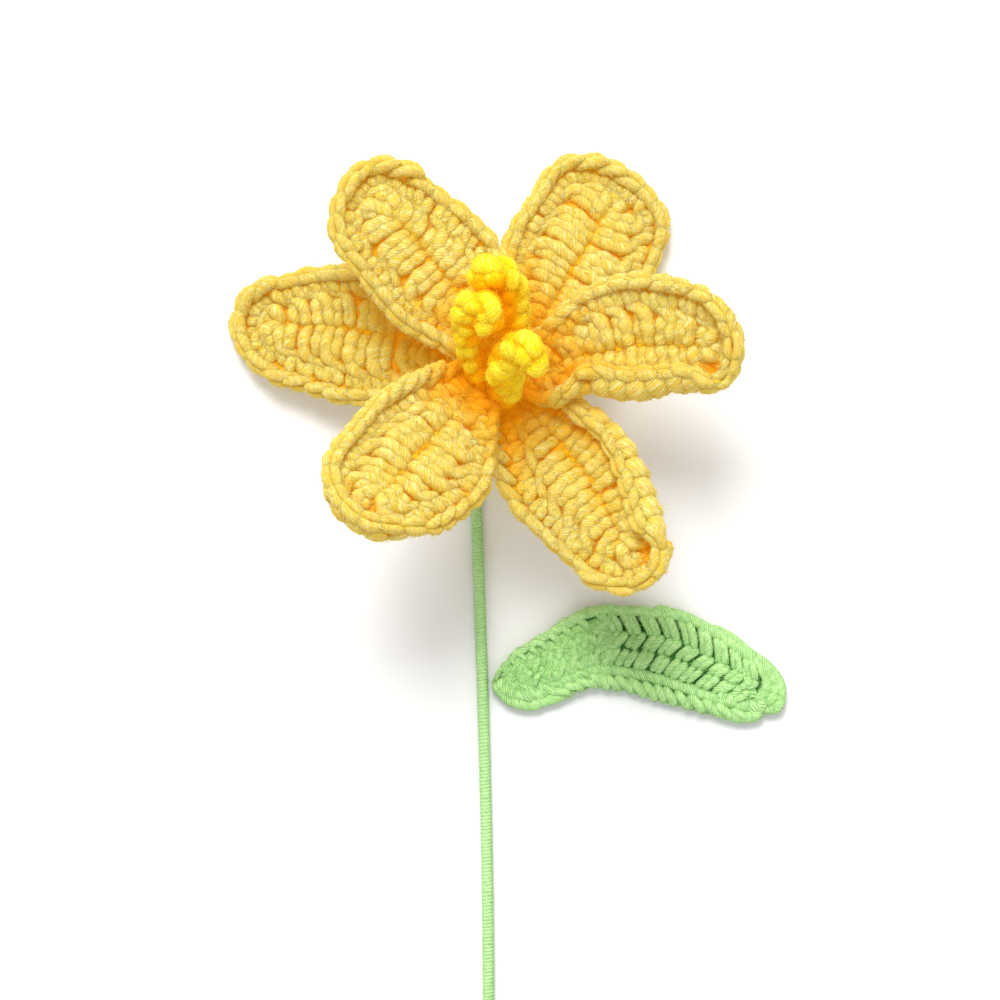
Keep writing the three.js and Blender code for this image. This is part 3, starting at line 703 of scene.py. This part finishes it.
# %% Border and chain
def border(skein, petal, count=SHORT):
    """A row of short V stitches standing on the tall ones, and the chain that closes its top."""
    places, pitch, to_loop = spread(petal, count, lambda post: post + ROW * 0.6)
    post = petal.post_at(places)[:, None]
    jig = lambda size: rng.uniform(-size, size, (count, 1))
    for leg in (-1, 1):
        step = np.array([0.03, 0.10, 0.20, 0.27, 0.27]) * leg * pitch
        step = step + np.array([0.7, 0.4, 0, -0.4, -0.6]) + jig(0.4)
        d = post + np.array([-0.9, 0.2, 1.7, 3.2, 4.2]) + jig(0.4)
        n = np.array([-0.3, 1.0, 1.3, 1.05, 0.1]) + jig(0.3)
        r = np.array([0.9, 1.25, 1.38, 1.25, 0.85]) * (1 + jig(0.12))
        lay_on(skein, petal, to_loop(step), d, n, r, 11, outward=0.3, sides=9, flank=0.7)
    step = np.array([-0.05, -0.02, 0.0, 0.02, 0.05]) * pitch + jig(0.3)
    d = post + np.array([1.5, 2.3, 3.3, 4.4, 5.2]) + jig(0.25)
    n = np.array([0.4, 1.1, 1.35, 1.15, 0.5]) + jig(0.2)
    r = np.array([1.7, 1.95, 2.05, 1.95, 1.6]) * (1 + jig(0.08))
    lay_on(skein, petal, to_loop(step), d, n, r, 11, True, ends=0.95, wide=1.3, tall=0.6)
    for leg in (-1, 1):
        step = np.array([0.28, 0.27, 0.24, 0.2, 0.16]) * leg * pitch
        step = step + np.array([0.5, 0.3, 0, -0.3, -0.5]) + jig(0.3)
        d = post + np.array([-1.6, -0.8, 0.2, 1.3, 2.1]) + jig(0.3)
        n = np.array([-0.2, 0.9, 1.3, 1.0, -0.2]) + jig(0.25)
        r = np.array([0.9, 1.3, 1.42, 1.3, 0.9])
        lay_on(skein, petal, to_loop(step), d, n, r, 9, True, sides=9)
    for arm in (-1, 1):
        step = np.array([-0.35, -0.02, 0.42, 0.86, 1.14]) * pitch + 0.25 * arm + jig(0.3)
        d = post + ROW + np.array([-0.1, 0.9, 1.5, 1.55, 0.8]) + jig(0.25)
        n = np.array([-0.1, 0.7, 1.05, 0.75, 0.0]) + jig(0.12)
        r = np.array([0.8, 1.06, 1.18, 1.08, 0.8]) * (1 + jig(0.1))
        lay_on(skein, petal, to_loop(step), d, n, r, 13, arm < 0, outward=1.0, flank=0.1)


print("strands in a petal's border:", 7 * SHORT)

# %% [markdown]
# Between round strands there are gaps. Real cloth shows more yarn in them, so a lining runs just inside both
# faces, painted in the yarn's dark crease colour as the shade those gaps would hold. Then each petal is
# worked, with its loose fibres.

# %% Lining, and the six petals
def lining(skein, petal, columns=72):
    """The bed of yarn under the stitches, which closes the gaps between them."""
    for back in (False, True):
        c = np.linspace(0, 2, columns + 1)
        post = petal.post_at(c)[:, None]
        d = np.concatenate([post * [0, 0.3, 0.6, 0.9, 1.0], post + np.array([1.2, 2.4, 3.6, ROW + 0.6])], 1)
        line = petal.loop(c[:, None], d, -0.3 if back else 0.3)
        K, J = d.shape
        k, j = np.meshgrid(np.arange(K - 1), np.arange(J - 1), indexing="ij")
        at = lambda a, b: a * J + b
        order = [at(k, j), at(k, j + 1), at(k + 1, j + 1), at(k + 1, j)]
        quads = np.stack(order if back else order[::-1], -1).reshape(-1, 4)
        # painted shade: the whole lining takes a dark crease shade and a little hollow shade
        deep, hollow = np.full(K * J, 0.8), np.full(K * J, 0.15)
        skein.add(line.reshape(-1, 3), deep, hollow, quads, np.zeros((quads.size, 2)), [])


for name, numbers in PETALS.items():
    petal = Petal(**numbers)
    skein = Skein()
    tall_stitches(skein, petal)
    border(skein, petal)
    lining(skein, petal)
    cloth = skein.fluff(700).fuzz(9000, 1.5, 0.33, 0.085).mesh(name + "_yarn")
    cloth.data.materials.append(petal_yarn)
    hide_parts(name)
    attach(cloth, "root")

# %% [markdown]
# A stamen is a narrow tube of short stitches worked in a spiral and bent into a crook. Its yarn is brighter
# and more brushed than the petals' yarn. Each stitch is a fat slanting lobe. A cord is given by places on its
# middle line and its radius at each of them.

# %% Stamens
STAMENS = {
    "stamen_upper": (
        [[1.5, 27.1, 24], [2.6, 33.5, 32], [3.2, 39, 38], [2.9, 43.1, 42], [1.8, 46.7, 46],
         [-0.5, 48.6, 48.5], [-3.0, 48.5, 48.5], [-3.7, 46.4, 46], [-2.3, 44.4, 43.5]],
        [2.2, 2.6, 2.9, 3, 3.1, 3.2, 3.3, 3.2, 2.9]),
    "stamen_left": (
        [[-3.5, 25.1, 25], [-5.3, 28.3, 31], [-6.4, 32.5, 36], [-7.1, 36.7, 41], [-6.9, 40.0, 45.5],
         [-5.3, 41.6, 48.5], [-3.1, 41.1, 49.5], [-2.0, 39.1, 48.5], [-2.8, 37.1, 46.5], [-3.8, 36.0, 44.5]],
        [2.2, 2.5, 2.7, 2.8, 3.0, 3.1, 3.2, 3.3, 3.2, 2.7]),
    "stamen_right": (
        [[1.7, 22.5, 25], [1.3, 24.9, 32], [0.8, 27.6, 38], [1.6, 30.4, 43], [3.2, 32.2, 47.5],
         [5.5, 32.7, 50], [7.1, 31.2, 49.5], [7.2, 28.9, 47.5], [6.2, 27.6, 46]],
        [2.8, 3.5, 3.7, 3.6, 3.3, 3.3, 3.4, 3.1, 2.5]),
}


class Rope:
    """A curved cord: a place on it is a distance along, an angle round and a distance from its middle."""

    def __init__(self, points, radii, samples=160):
        dense = curve(np.array([[*p, q] for p, q in zip(points, radii)])[None], samples)[0]
        self.c, self.r = dense[:, :3], dense[:, 3]
        self.run = np.concatenate([[0], np.cumsum(np.linalg.norm(np.diff(self.c, axis=0), axis=1))])
        self.t = unit(np.gradient(self.c, axis=0))
        a = unit(np.cross(self.t[0], [0.3, 0.2, 1.0]))
        frames = []
        for t in self.t:
            a = unit(a - t * (a @ t))
            frames.append(a)
        self.a = np.array(frames)
        self.b = np.cross(self.t, self.a)
        self.length = self.run[-1]

    def pick(self, field, s):
        return np.stack([np.interp(s, self.run, field[:, i]) for i in range(3)], -1)

    def radius(self, s):
        r = np.interp(s, self.run, self.r)
        cap = np.clip((s - (self.length - r)) / r, 0, 0.97)
        return r * np.sqrt(1 - cap**2)

    def at(self, s, angle, rho):
        out = self.pick(self.a, s) * np.cos(angle)[..., None]
        out = unit(out + self.pick(self.b, s) * np.sin(angle)[..., None])
        return self.pick(self.c, s) + out * rho[..., None], out


print("stamens:", ", ".join(STAMENS))

# %% [markdown]
# The lobes follow a spiral: `around` of them to a round, and each round `rise` mm further on. Their ends dive
# towards a plump core, so that no hollow shows between them.

# %% Stitches round a cord
def stitched_cord(points, radii, around=3.6, rise=3.9):
    rope = Rope(points, radii)
    skein = Skein()
    count = int(rope.length / rise * around)
    s0 = (np.arange(count) + 0.5) / around * rise
    angle0 = np.arange(count) * 2 * np.pi / around + rng.uniform(-0.3, 0.3, count)
    jig = lambda size: rng.uniform(-size, size, (count, 1))
    s = s0[:, None] + np.array([-2.1, -1.2, 0.1, 1.3, 2.0]) * (1 + jig(0.2)) + jig(0.4)
    angle = angle0[:, None] + np.array([-0.6, -0.4, 0.0, 0.45, 0.7]) + jig(0.2)
    size = rope.radius(np.clip(s0, 0, rope.length))[:, None] / 3.3
    inset = np.array([2.3, 1.45, 1.1, 1.45, 2.3]) * size + jig(0.35)
    r = np.array([1.0, 1.5, 1.75, 1.5, 1.0]) * size * (1 + jig(0.15))
    s, angle, inset, r = np.moveaxis(curve(np.stack([s, angle, inset, r], -1), 13), -1, 0)
    s = np.clip(s, 0, rope.length - 0.05)
    line, out = rope.at(s, angle, np.maximum(rope.radius(s) - inset, 0.2))
    few = [0, 6, 12]
    above = rope.at(s[:, few], angle[:, few], rope.radius(s[:, few]) + 1.6)[0]
    # painted shade: rays set each lobe's hollow shade, lobes sunk towards the core are darker, and so is the
    # core
    hollow = hollow_along(above, out[:, few], few, 13, 12.0)
    shade = np.clip((inset - 1.1) / 2.0, 0, 0.6)
    skein.lay(line, out, np.maximum(r, 0.2), shade, hollow, wide=1.2, tall=0.9)
    core = np.linspace(0, rope.length - 0.9, 48)[None]
    line, out = rope.at(core, 0 * core, 0 * core)
    bulk = np.maximum(rope.radius(core) - 0.75, 0.5) * (1 + 0.06 * np.sin(core * 1.6))
    skein.lay(line, out, bulk, np.full(core.shape, 0.3), sides=14, wide=1, tall=1)
    return skein


stamen_yarn = yarn(
    "stamen_yarn", pale=(0.93, 0.86, 0.09), body=(0.92, 0.67, 0.005), deep=(0.92, 0.41, 0.0),
    hollow_shade_colour=(0.92, 0.37, 0.0), threads=8, relief=0.0002, soft=0.25, glow=0.15)
for name, (points, radii) in STAMENS.items():
    skein = stitched_cord(points, radii)
    cord = skein.fluff(600, 1.5, 0.5, 0.045).fuzz(8000, 1.1, 0.35, 0.05).mesh(name + "_yarn")
    cord.data.materials.append(stamen_yarn)
    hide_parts(name)
    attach(cord, "root")

# %% [markdown]
# The leaf is a flat piece in rows: a beaded edge along the top, three rows of posts in pairs with small open
# eyes between them, a smooth cord, and a braided chain along the lower edge. Towards the stem its stitches
# are shorter and matted together. A place on it is named by the distance `s` along its middle line and the
# share `v` of its half width. Rows start and stop at shares of its length.

# %% The form of the leaf
LEAF_X = np.array([-1.35, 0.1, 4.5, 9.9, 16.3, 22.2, 29.7, 38.3, 46.9, 54.9, 60.3, 63.7])
LEAF_Y = np.array([-40.6, -40.6, -40.2, -38.2, -35.2, -33.1, -33.7, -35.3, -39, -42.6, -44.2, -44.2])
LEAF_HALF = np.array([0.6, 3.4, 6.6, 7.6, 8.3, 9.4, 9.8, 10.4, 9.2, 7.5, 5.2, 0.9])


class Leaf:
    """The leaf's middle line, which curves over the surface, and its half width along it."""

    def __init__(self):
        k = curve(np.stack([LEAF_X, LEAF_Y, LEAF_HALF], -1)[None], 400)[0]
        self.c, self.half = k[:, :2], np.maximum(k[:, 2], 0.5)
        self.run = np.concatenate([[0], np.cumsum(np.linalg.norm(np.diff(self.c, axis=0), axis=1))])
        t = unit(np.gradient(self.c, axis=0))
        self.side = np.stack([-t[:, 1], t[:, 0]], -1)
        self.length = self.run[-1]

    def width(self, s):
        return np.interp(s, self.run, self.half)

    def at(self, s, v, n):
        """s mm along, v from -1 at the lower edge to 1 at the upper, n mm over the middle of the cloth."""
        s, v, n = np.broadcast_arrays(s, v, n)
        reach = v * np.maximum(self.width(s) - 1.0, 0.1)
        x = np.interp(s, self.run, self.c[:, 0]) + np.interp(s, self.run, self.side[:, 0]) * reach
        y = np.interp(s, self.run, self.c[:, 1]) + np.interp(s, self.run, self.side[:, 1]) * reach
        return np.stack([x, y, LEAF_MIDDLE + n], -1)


leaf = Leaf()
print("leaf length and greatest width, mm:", round(leaf.length, 1), round(2 * leaf.half.max(), 1))

# %% [markdown]
# Two kinds of strand make the leaf: rows of short posts, each from a low share of the width to a high one and
# slanting by a share of their spacing, and long cords that follow an edge or a row.

# %% Rows and cords on the leaf
def places_along(start, stop, pitch):
    """Even places from start to stop, shares of the leaf's length, about `pitch` mm apart."""
    reach = leaf.length * (stop - start)
    count = max(2, round(reach / pitch))
    return leaf.length * mix(start, stop, (np.arange(count) + 0.5) / count), reach / count


def lay_leaf(skein, s, v, n, r, sign=1, **how):
    s, v, n, r = np.moveaxis(curve(np.stack(np.broadcast_arrays(s, v, n, r), -1), 12), -1, 0)
    line = leaf.at(np.clip(s, 0.1, leaf.length - 0.1), v, sign * n)
    normal = np.broadcast_to([0, 0, float(sign)], line.shape)
    # painted shade: posts lower in the cloth are darker
    shade = np.clip((0.65 - n) / 1.6, 0, 1)
    skein.lay(line, normal, np.maximum(r, 0.2), shade, fluffy=sign > 0, **how)


def leaf_row(skein, s0, pitch, low, high, slant, radius, sign=1, puff=1.0, rough=1.0, wide=1.08, flank=0.5):
    """One post at each place of s0. `puff` lifts them, `rough` is how unlike each other they are."""
    count = len(s0)
    jig = lambda size: rng.uniform(-size, size, (count, 1)) * rough
    small = np.clip(leaf.width(s0) / 8.5, 0.35, 1)[:, None]
    s = s0[:, None] + np.array([-0.5, -0.42, -0.1, 0.25, 0.5]) * slant * pitch + jig(0.2)
    v = np.array([low - 0.05, *(mix(low, high, t) for t in (0.2, 0.55, 0.85)), high + 0.04]) + jig(0.02)
    n = np.array([-0.5, 0.75, 1.0, 0.9, -0.3]) * puff + jig(0.15)
    r = np.array([0.72, 0.96, 1.0, 0.97, 0.72]) * radius * small * (1 + jig(0.08))
    lay_leaf(skein, s, v, n, r, sign, tall=0.85, wide=wide, flank=flank)


def leaf_cord(skein, path, radius, height, shade=0.1, wide=1.1):
    """One long cord over (x, y) places on the leaf."""
    path = np.atleast_2d(path)
    sway = 0.12 * np.sin(np.arange(len(path)) * 1.1)[:, None]
    line = np.concatenate([path, LEAF_MIDDLE + height + sway], -1)[None]
    r = radius * (1 + 0.05 * np.sin(np.arange(len(path)) * 0.9 + radius * 9))[None]
    upward = np.broadcast_to([0, 0, 1.0], line.shape)
    skein.lay(line, upward, r, np.full(r.shape, shade), wide=wide, tall=0.9)


def along_leaf(start, stop, v):
    s = leaf.length * np.linspace(start, stop, int(90 * (stop - start)) + 6)
    return leaf.at(s, v, 0.0)[:, :2]


def leaf_cords(skein, cords):
    """Cords as rows of a table: radius, height, width, shade, and the (x, y) places they pass."""
    for radius, height, wide, shade, places in cords:
        path = curve(np.array([places], float), 30)[0]
        leaf_cord(skein, path, radius, height, shade, wide)


print("leaf stitches ready")

# %% [markdown]
# Near the stem the yarn is matted: crossing short posts over a bed of cords, brushed with loose fibre. They
# thin out where the clear rows begin. Teeth reach up to the edge, with dark notches between them: a cord
# painted in full shade lies under their ends.

# %% Matted end of the leaf
MAT_START, MAT_STOP = 0.03, 0.42
skein = Skein()
for v in np.linspace(-0.6, 0.62, 6):
    leaf_cord(skein, along_leaf(MAT_START, MAT_STOP, v), 1.4, 0.15, shade=0.2, wide=1.3)
mats, mat_pitch = places_along(MAT_START, MAT_STOP, 1.35)
for low, high, slant in ((0.34, 0.66, 1.6), (0.06, 0.44, -1.7), (-0.2, 0.16, 1.5), (-0.44, -0.12, -1.2)):
    middle = mats + rng.uniform(-0.7, 0.7, len(mats))
    middle = middle[middle < leaf.length * rng.uniform(0.27, 0.46, len(mats))]
    leaf_row(skein, middle, mat_pitch, low, high, slant, 0.95, puff=0.85, rough=1.6)
skein.fluff(1500, 1.7, 0.15, 0.09)
# a cord painted in full shade, seen only in the notches between the teeth
leaf_cord(skein, along_leaf(0.05, MAT_STOP, 0.83), 0.85, 0.15, shade=1.0, wide=1.3)
close, close_pitch = places_along(0.05, 0.40, 2.95)
leaf_row(skein, close, close_pitch, 0.52, 0.97, -0.55, 0.86, puff=1.4, wide=0.95, flank=0.8)
columns, column_pitch = places_along(0.12, 0.38, 3.1)
leaf_row(skein, columns, column_pitch, -0.42, 0.0, 0.8, 0.92, puff=1.4, rough=1.5, wide=1.0, flank=0.8)
leaf_row(skein, columns + 1.2, column_pitch, 0.02, 0.46, 0.7, 0.88, puff=1.35, rough=1.6, wide=1.0, flank=0.8)
print("posts in the mat:", 4 * len(mats), "at most; teeth:", len(close))

# %% [markdown]
# The open rows are pairs of posts, the upper row leaning one way and the two lower rows the other, over a bed
# that lies lower and is painted darker as shade. The band under them is one long cord.

# %% Open rows
for v in (-0.72, -0.5, -0.28, -0.06, 0.16):
    # painted shade: the bed of cords is coloured dark
    leaf_cord(skein, along_leaf(0.36, 0.93, v), 1.3, -0.6, shade=0.85, wide=1.3)
eyes, eye_pitch = places_along(0.37, 0.88, 4.0)
OPEN_ROWS = ((0.0, 0.38, 0.96, -0.8, 0.95), (0.45, 0.03, 0.40, 0.5, 1.0), (0.12, -0.43, -0.03, 0.45, 1.0))
for row_start, low, high, slant, radius in OPEN_ROWS:
    for strand, puff in ((-0.18, 1.2), (0.19, 1.5)):
        posts = eyes + (row_start + strand) * eye_pitch
        leaf_row(skein, posts, eye_pitch, low, high, slant, radius, puff=puff, rough=1.5, wide=1.0,
                 flank=0.85)
leaf_cord(skein, along_leaf(0.02, 0.93, -0.58), 1.2, 0.3, wide=1.15)
print("posts in the open rows:", 6 * len(eyes))

# %% [markdown]
# The edges are laid over the ends of the rows: two cords round the lower left corner, beads along the top,
# and layers of cord round the right end. The cords leave the rows, so their places are x and y in
# millimetres.

# %% Edges of the leaf
LEFT_CORNER = (
    (1.2, 0.0, 1.15, 0.1, ((-1.0, -41.0), (0.4, -43.0), (2.3, -44.8), (5.8, -46.0), (9.0, -45.4),
                           (12, -44.4), (16, -42.8))),
    (1.3, 0.2, 1.3, 0.1, ((-0.6, -40.8), (3, -43.0), (7, -43.8), (11, -42.4))),
)
RIGHT_END = (
    (1.2, 0.65, 1.1, 0.1, ((35.5, -24.9), (41, -26.2), (44.6, -27.8), (51.6, -32.1), (57.2, -36.6),
                           (59.6, -39.6), (59.6, -42.4), (57.4, -45.2))),
    (1.15, 0.1, 1.1, 0.1, ((47.5, -28.6), (52, -31.2), (56.2, -34.6), (60.2, -37.5), (62.4, -40.4),
                           (63.0, -43.5), (62.1, -46.4), (59.2, -47.2))),
    (1.25, 0.2, 1.1, 0.1, ((55.5, -36), (59.5, -38.2), (61.2, -40.8), (61.4, -43.5), (60.0, -46.0))),
    (1.35, 0.1, 1.1, 0.1, ((45, -45.2), (49, -47.2), (53, -48.4), (56.6, -48.4), (58.6, -46.4))),
    (1.5, 0.2, 1.2, 0.1, ((49, -43.2), (53, -45.2), (57, -46.4), (60, -45.0))),
    (1.4, 0.1, 1.2, 0.1, ((52, -41.0), (55, -43.2), (57.5, -42.8))),
    (1.0, 0.6, 1.1, 0.1, ((54.4, -37.8), (55.5, -40.4), (54.0, -42.6))),
    # painted shade: a dark cord low under the others
    (1.3, -0.8, 1.1, 1.0, ((56, -37.5), (57.5, -40), (57.0, -42.5))),
)
leaf_cords(skein, LEFT_CORNER)
edge, edge_pitch = places_along(0.01, 0.60, 3.45)
leaf_row(skein, edge, edge_pitch, 0.94, 1.02, 1.3, 1.06, puff=1.15)
leaf_row(skein, edge[-1:] - 2.0, edge_pitch, 1.06, 1.1, 0.7, 1.0, puff=0.7)
leaf_cords(skein, RIGHT_END)
print("cords round the ends:", len(LEFT_CORNER) + len(RIGHT_END), "and beads on the edge:", len(edge) + 1)

# %% [markdown]
# Last come the braid under the band, the back of the cloth, and a short neck of yarn towards the stem. The
# leaf lies on the surface, so its back is flat.

# %% Braid, back and neck
# a cord painted in full shade under the braid, seen in the gaps between its lobes
leaf_cord(skein, along_leaf(0.20, 0.88, -0.81), 0.7, -0.05, shade=1.0)
braid, braid_pitch = places_along(0.16, 0.90, 3.2)
leaf_row(skein, braid, braid_pitch, -1.04, -0.74, -1.3, 1.0, puff=1.1, flank=0.8)
leaf_row(skein, braid + 0.5 * braid_pitch, braid_pitch, -1.03, -0.93, -1.0, 0.8, puff=0.1)
for low, high, radius in ((0.42, 0.88, 1.3), (0.0, 0.5, 1.6), (-0.45, 0.05, 1.7), (-0.95, -0.40, 1.6)):
    leaf_row(skein, eyes, eye_pitch, low, high, 0.1, radius, sign=-1, wide=1.3)
    leaf_row(skein, close, close_pitch, low, high, 0.1, radius, sign=-1, wide=1.2)
NECK = [[2.5, -40.7, 2.0, 1.4], [0.5, -40.7, 1.7, 1.1], [-1.0, -40.65, 1.45, 0.75], [-1.75, -40.6, 1.3, 0.55]]
neck = curve(np.array([NECK]), 10)  # x, y, z and radius
line, radius = neck[..., :3], neck[..., 3]
skein.lay(line, np.broadcast_to([0, 0, 1.0], line.shape), radius, np.full((1, 10), 0.2))
green_yarn = yarn(
    "green_yarn", pale=(0.74, 1.0, 0.55), body=(0.57, 0.96, 0.35), deep=(0.045, 0.24, 0.035),
    hollow_shade_colour=(0.12, 0.42, 0.06), threads=10, pitch=5.0, relief=0.0002, soft=0.06, groove_shade=0.34, wander=1.0)
leaf_cloth = skein.fluff(1200).fuzz(3000, 1.2, 0.2, 0.06).mesh("leaf_yarn")
leaf_cloth.data.materials.append(green_yarn)
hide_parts("leaf")
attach(leaf_cloth, "root")

# %% [markdown]
# The stem is a wire with green thread wound round it, turn against turn. It leaves the flower along the
# flower's own axis and bends down to lie on the surface.

# %% The line of the stem
STRAIGHT = 15.2  # mm under the heart where the bend begins


def stem_line():
    start = HEART - AXIS * STRAIGHT
    turn = math.pi / 2 - LEAN
    radius = (start[2] - STEM_R) / (1 - math.cos(turn))
    points = [HEART - AXIS * a for a in (9.0, 12.0, STRAIGHT)]
    for i in range(1, 13):
        a = turn * (1 - i / 12)
        y = start[1] - radius * (math.sin(turn) - math.sin(a))
        points.append([0, y, STEM_R + radius * (1 - math.cos(a))])
    y0 = points[-1][1]
    for i in range(1, 41):
        points.append([0, mix(y0, STEM_END, i / 40), STEM_R])
    points = np.array(points)
    y = np.minimum(points[:, 1], 0)
    bow = -2.6 - 2.65 * np.sign(y + 110) * (np.abs(y + 110) / 106.6) ** 1.6
    points[:, 0] = mix(HEART[0], bow, smooth((start[1] + 2 - points[:, 1]) / (start[1] + 2)))
    return points


stem_points = stem_line()
stem_rope = Rope(stem_points, [STEM_R] * len(stem_points), 900)
print("stem length, mm:", round(stem_rope.length, 1))

# %% [markdown]
# The thread is one long strand in a helix. Its turns touch, and a core closes what little is open between
# them. The green is painted darker as shade on the stem's underside and sides, a little more on its right.

# %% The thread wound round the stem
PITCH, FIRST, BARE = 0.78, 6.6, 1.5  # mm between turns, to the first turn, and of bare end
turns = int((stem_rope.length - FIRST - BARE) / PITCH)
t = np.linspace(0, turns, turns * 12 + 1)[None]
s = FIRST + t * PITCH
line, out = stem_rope.at(s, t * 2 * np.pi, np.full(s.shape, STEM_R - 0.52))
skein = Skein()
# painted shade: underside and sides darker, the right side a little more
under = 0.06 + 0.42 * (1 - out[..., 2]) + 0.1 * out[..., 0]
skein.lay(line, out, np.full(s.shape, 0.53), under, sides=6, wide=1.0, tall=0.75)
core = np.linspace(FIRST, stem_rope.length - 1.6, 300)[None]
line, out = stem_rope.at(core, 0 * core, 0 * core)
# painted shade: the core between the turns is darker
radius, shade = np.full(core.shape, STEM_R - 0.47), np.full(core.shape, 0.5)
skein.lay(line, out, radius, shade, sides=12, wide=1, tall=1, fluffy=False)
stem_thread = yarn(
    "stem_thread", pale=(0.56, 0.82, 0.42), body=(0.42, 0.70, 0.28), deep=(0.10, 0.29, 0.06),
    hollow_shade_colour=(0.10, 0.32, 0.05), threads=4, pitch=3.0, relief=0.00005, soft=0.0)
print("turns of thread:", turns)
stem_cloth = skein.fluff(1500, 0.9, 0.5, 0.03).mesh("stem_thread")
stem_cloth.data.materials.append(stem_thread)
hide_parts("stem_wrap")
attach(stem_cloth, "root")

# %% [markdown]
# Under the petals a few turns of yellow yarn tie them to the wire. They widen towards the petals and lie on
# a core, so the wire doesn't show between them.

# %% Binding
BINDING_TURNS, BINDING_YARN = 4.2, 1.3
X_WAY = np.array([1.0, 0, 0])
skein = Skein()
t = np.linspace(0, 1, 120)[None]
axial = mix(-14.2, -7.6, t)
rho = mix(3.3, 5.6, t) - 1.35
angle = t * BINDING_TURNS * 2 * np.pi
out = X_WAY * np.cos(angle)[..., None] + np.cross(AXIS, X_WAY) * np.sin(angle)[..., None]
line = HEART + AXIS * axial[..., None] + out * rho[..., None]
skein.lay(line, out, np.full(t.shape, BINDING_YARN), np.full(t.shape, 0.1))
t = np.linspace(0, 1, 12)[None]
line = HEART + AXIS * mix(-15.0, -6.8, t)[..., None]
upward = np.broadcast_to(X_WAY, line.shape)
# painted shade: the core between the turns is coloured dark
skein.lay(line, upward, mix(2.2, 4.4, t), np.full(t.shape, 0.8), sides=14, wide=1, tall=1)
binding = skein.mesh("petal_binding_yarn")
binding.data.materials.append(petal_yarn)
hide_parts("petal_binding")
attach(binding, "root")

# %% [markdown]
# The wire shows only at the cut end. It is the CAD solid itself, in dull drawn steel with a fine grain.

# %% Wire
def steel(name):
    s = Shader(name)
    where = s.node("ShaderNodeTexCoord").outputs["Object"]
    grain = s.noise(where, 1500.0, 3.0, 0.6)
    colour = s.ramp(grain, (0.3, (0.30, 0.29, 0.28)), (0.7, (0.56, 0.55, 0.53)))
    rough = (grain * 0.3 + 0.3).clamped()
    return s.done(s.node("ShaderNodeBsdfPrincipled", Base_Color=colour, Roughness=rough, Metallic=1.0))


wire = bpy.data.objects["stem_wire"]
wire.data.materials.clear()
wire.data.materials.append(steel("drawn_wire"))
print("wire:", len(wire.data.polygons), "faces of its own solid")

# %% [markdown]
# A pale plain floor and a white surround keep the eye on the yarn. The floor still gets a faint grain, since
# nothing real is one flat colour.

# %% Floor and surround
def plain(name, colour):
    s = Shader(name)
    where = s.node("ShaderNodeTexCoord").outputs["Object"]
    tone = s.ramp(s.noise(where, 40.0), (0.0, colour), (1.0, tuple(c * 1.02 for c in colour)))
    return s.done(s.node("ShaderNodeBsdfPrincipled", Base_Color=tone, Roughness=0.9))


bpy.ops.mesh.primitive_plane_add(size=6, location=(0, 0, 0))
floor = bpy.context.object
floor.name = "floor"
floor.data.materials.append(plain("floor_white", (0.90, 0.90, 0.90)))

scene = bpy.context.scene
scene.view_settings.view_transform = "Standard"
world = bpy.data.worlds.new("surround")
scene.world = world
world.use_nodes = True
SURROUND = 0.75
world.node_tree.nodes["Background"].inputs[0].default_value = (1, 1, 1, 1)
world.node_tree.nodes["Background"].inputs[1].default_value = SURROUND
print("surround strength:", SURROUND)

# %% [markdown]
# One broad lamp stands beyond the flower's top, a little to the left, so every strand has a soft shaded side.
# The camera looks straight down from eighty centimetres on a field of 22.5 cm.

# %% Light and camera
CAMERA_HEIGHT, FIELD, SENSOR = 0.8, 0.225, 36
look_at = Vector((MOVE[0] * MM, MOVE[1] * MM, 0))


def lamp(name, place, size, power):
    data = bpy.data.lights.new(name, "AREA")
    data.shape, data.size, data.energy = "SQUARE", size, power
    ob = bpy.data.objects.new(name, data)
    scene.collection.objects.link(ob)
    ob.location = look_at + Vector(place)
    ob.rotation_euler = (look_at + Vector((0, 0.03, 0.02)) - ob.location).to_track_quat("-Z", "Y").to_euler()
    return ob


lamp("key", (-0.12, 0.62, 0.88), 0.5, 12.0)

camera_data = bpy.data.cameras.new("camera")
camera_data.sensor_width = SENSOR
camera_data.lens = SENSOR * CAMERA_HEIGHT / FIELD
camera = bpy.data.objects.new("camera", camera_data)
scene.collection.objects.link(camera)
camera.location = look_at + Vector((0, 0, CAMERA_HEIGHT))
camera.rotation_euler = (0, 0, 0)
scene.camera = camera
print("lens, mm:", round(camera_data.lens, 1))
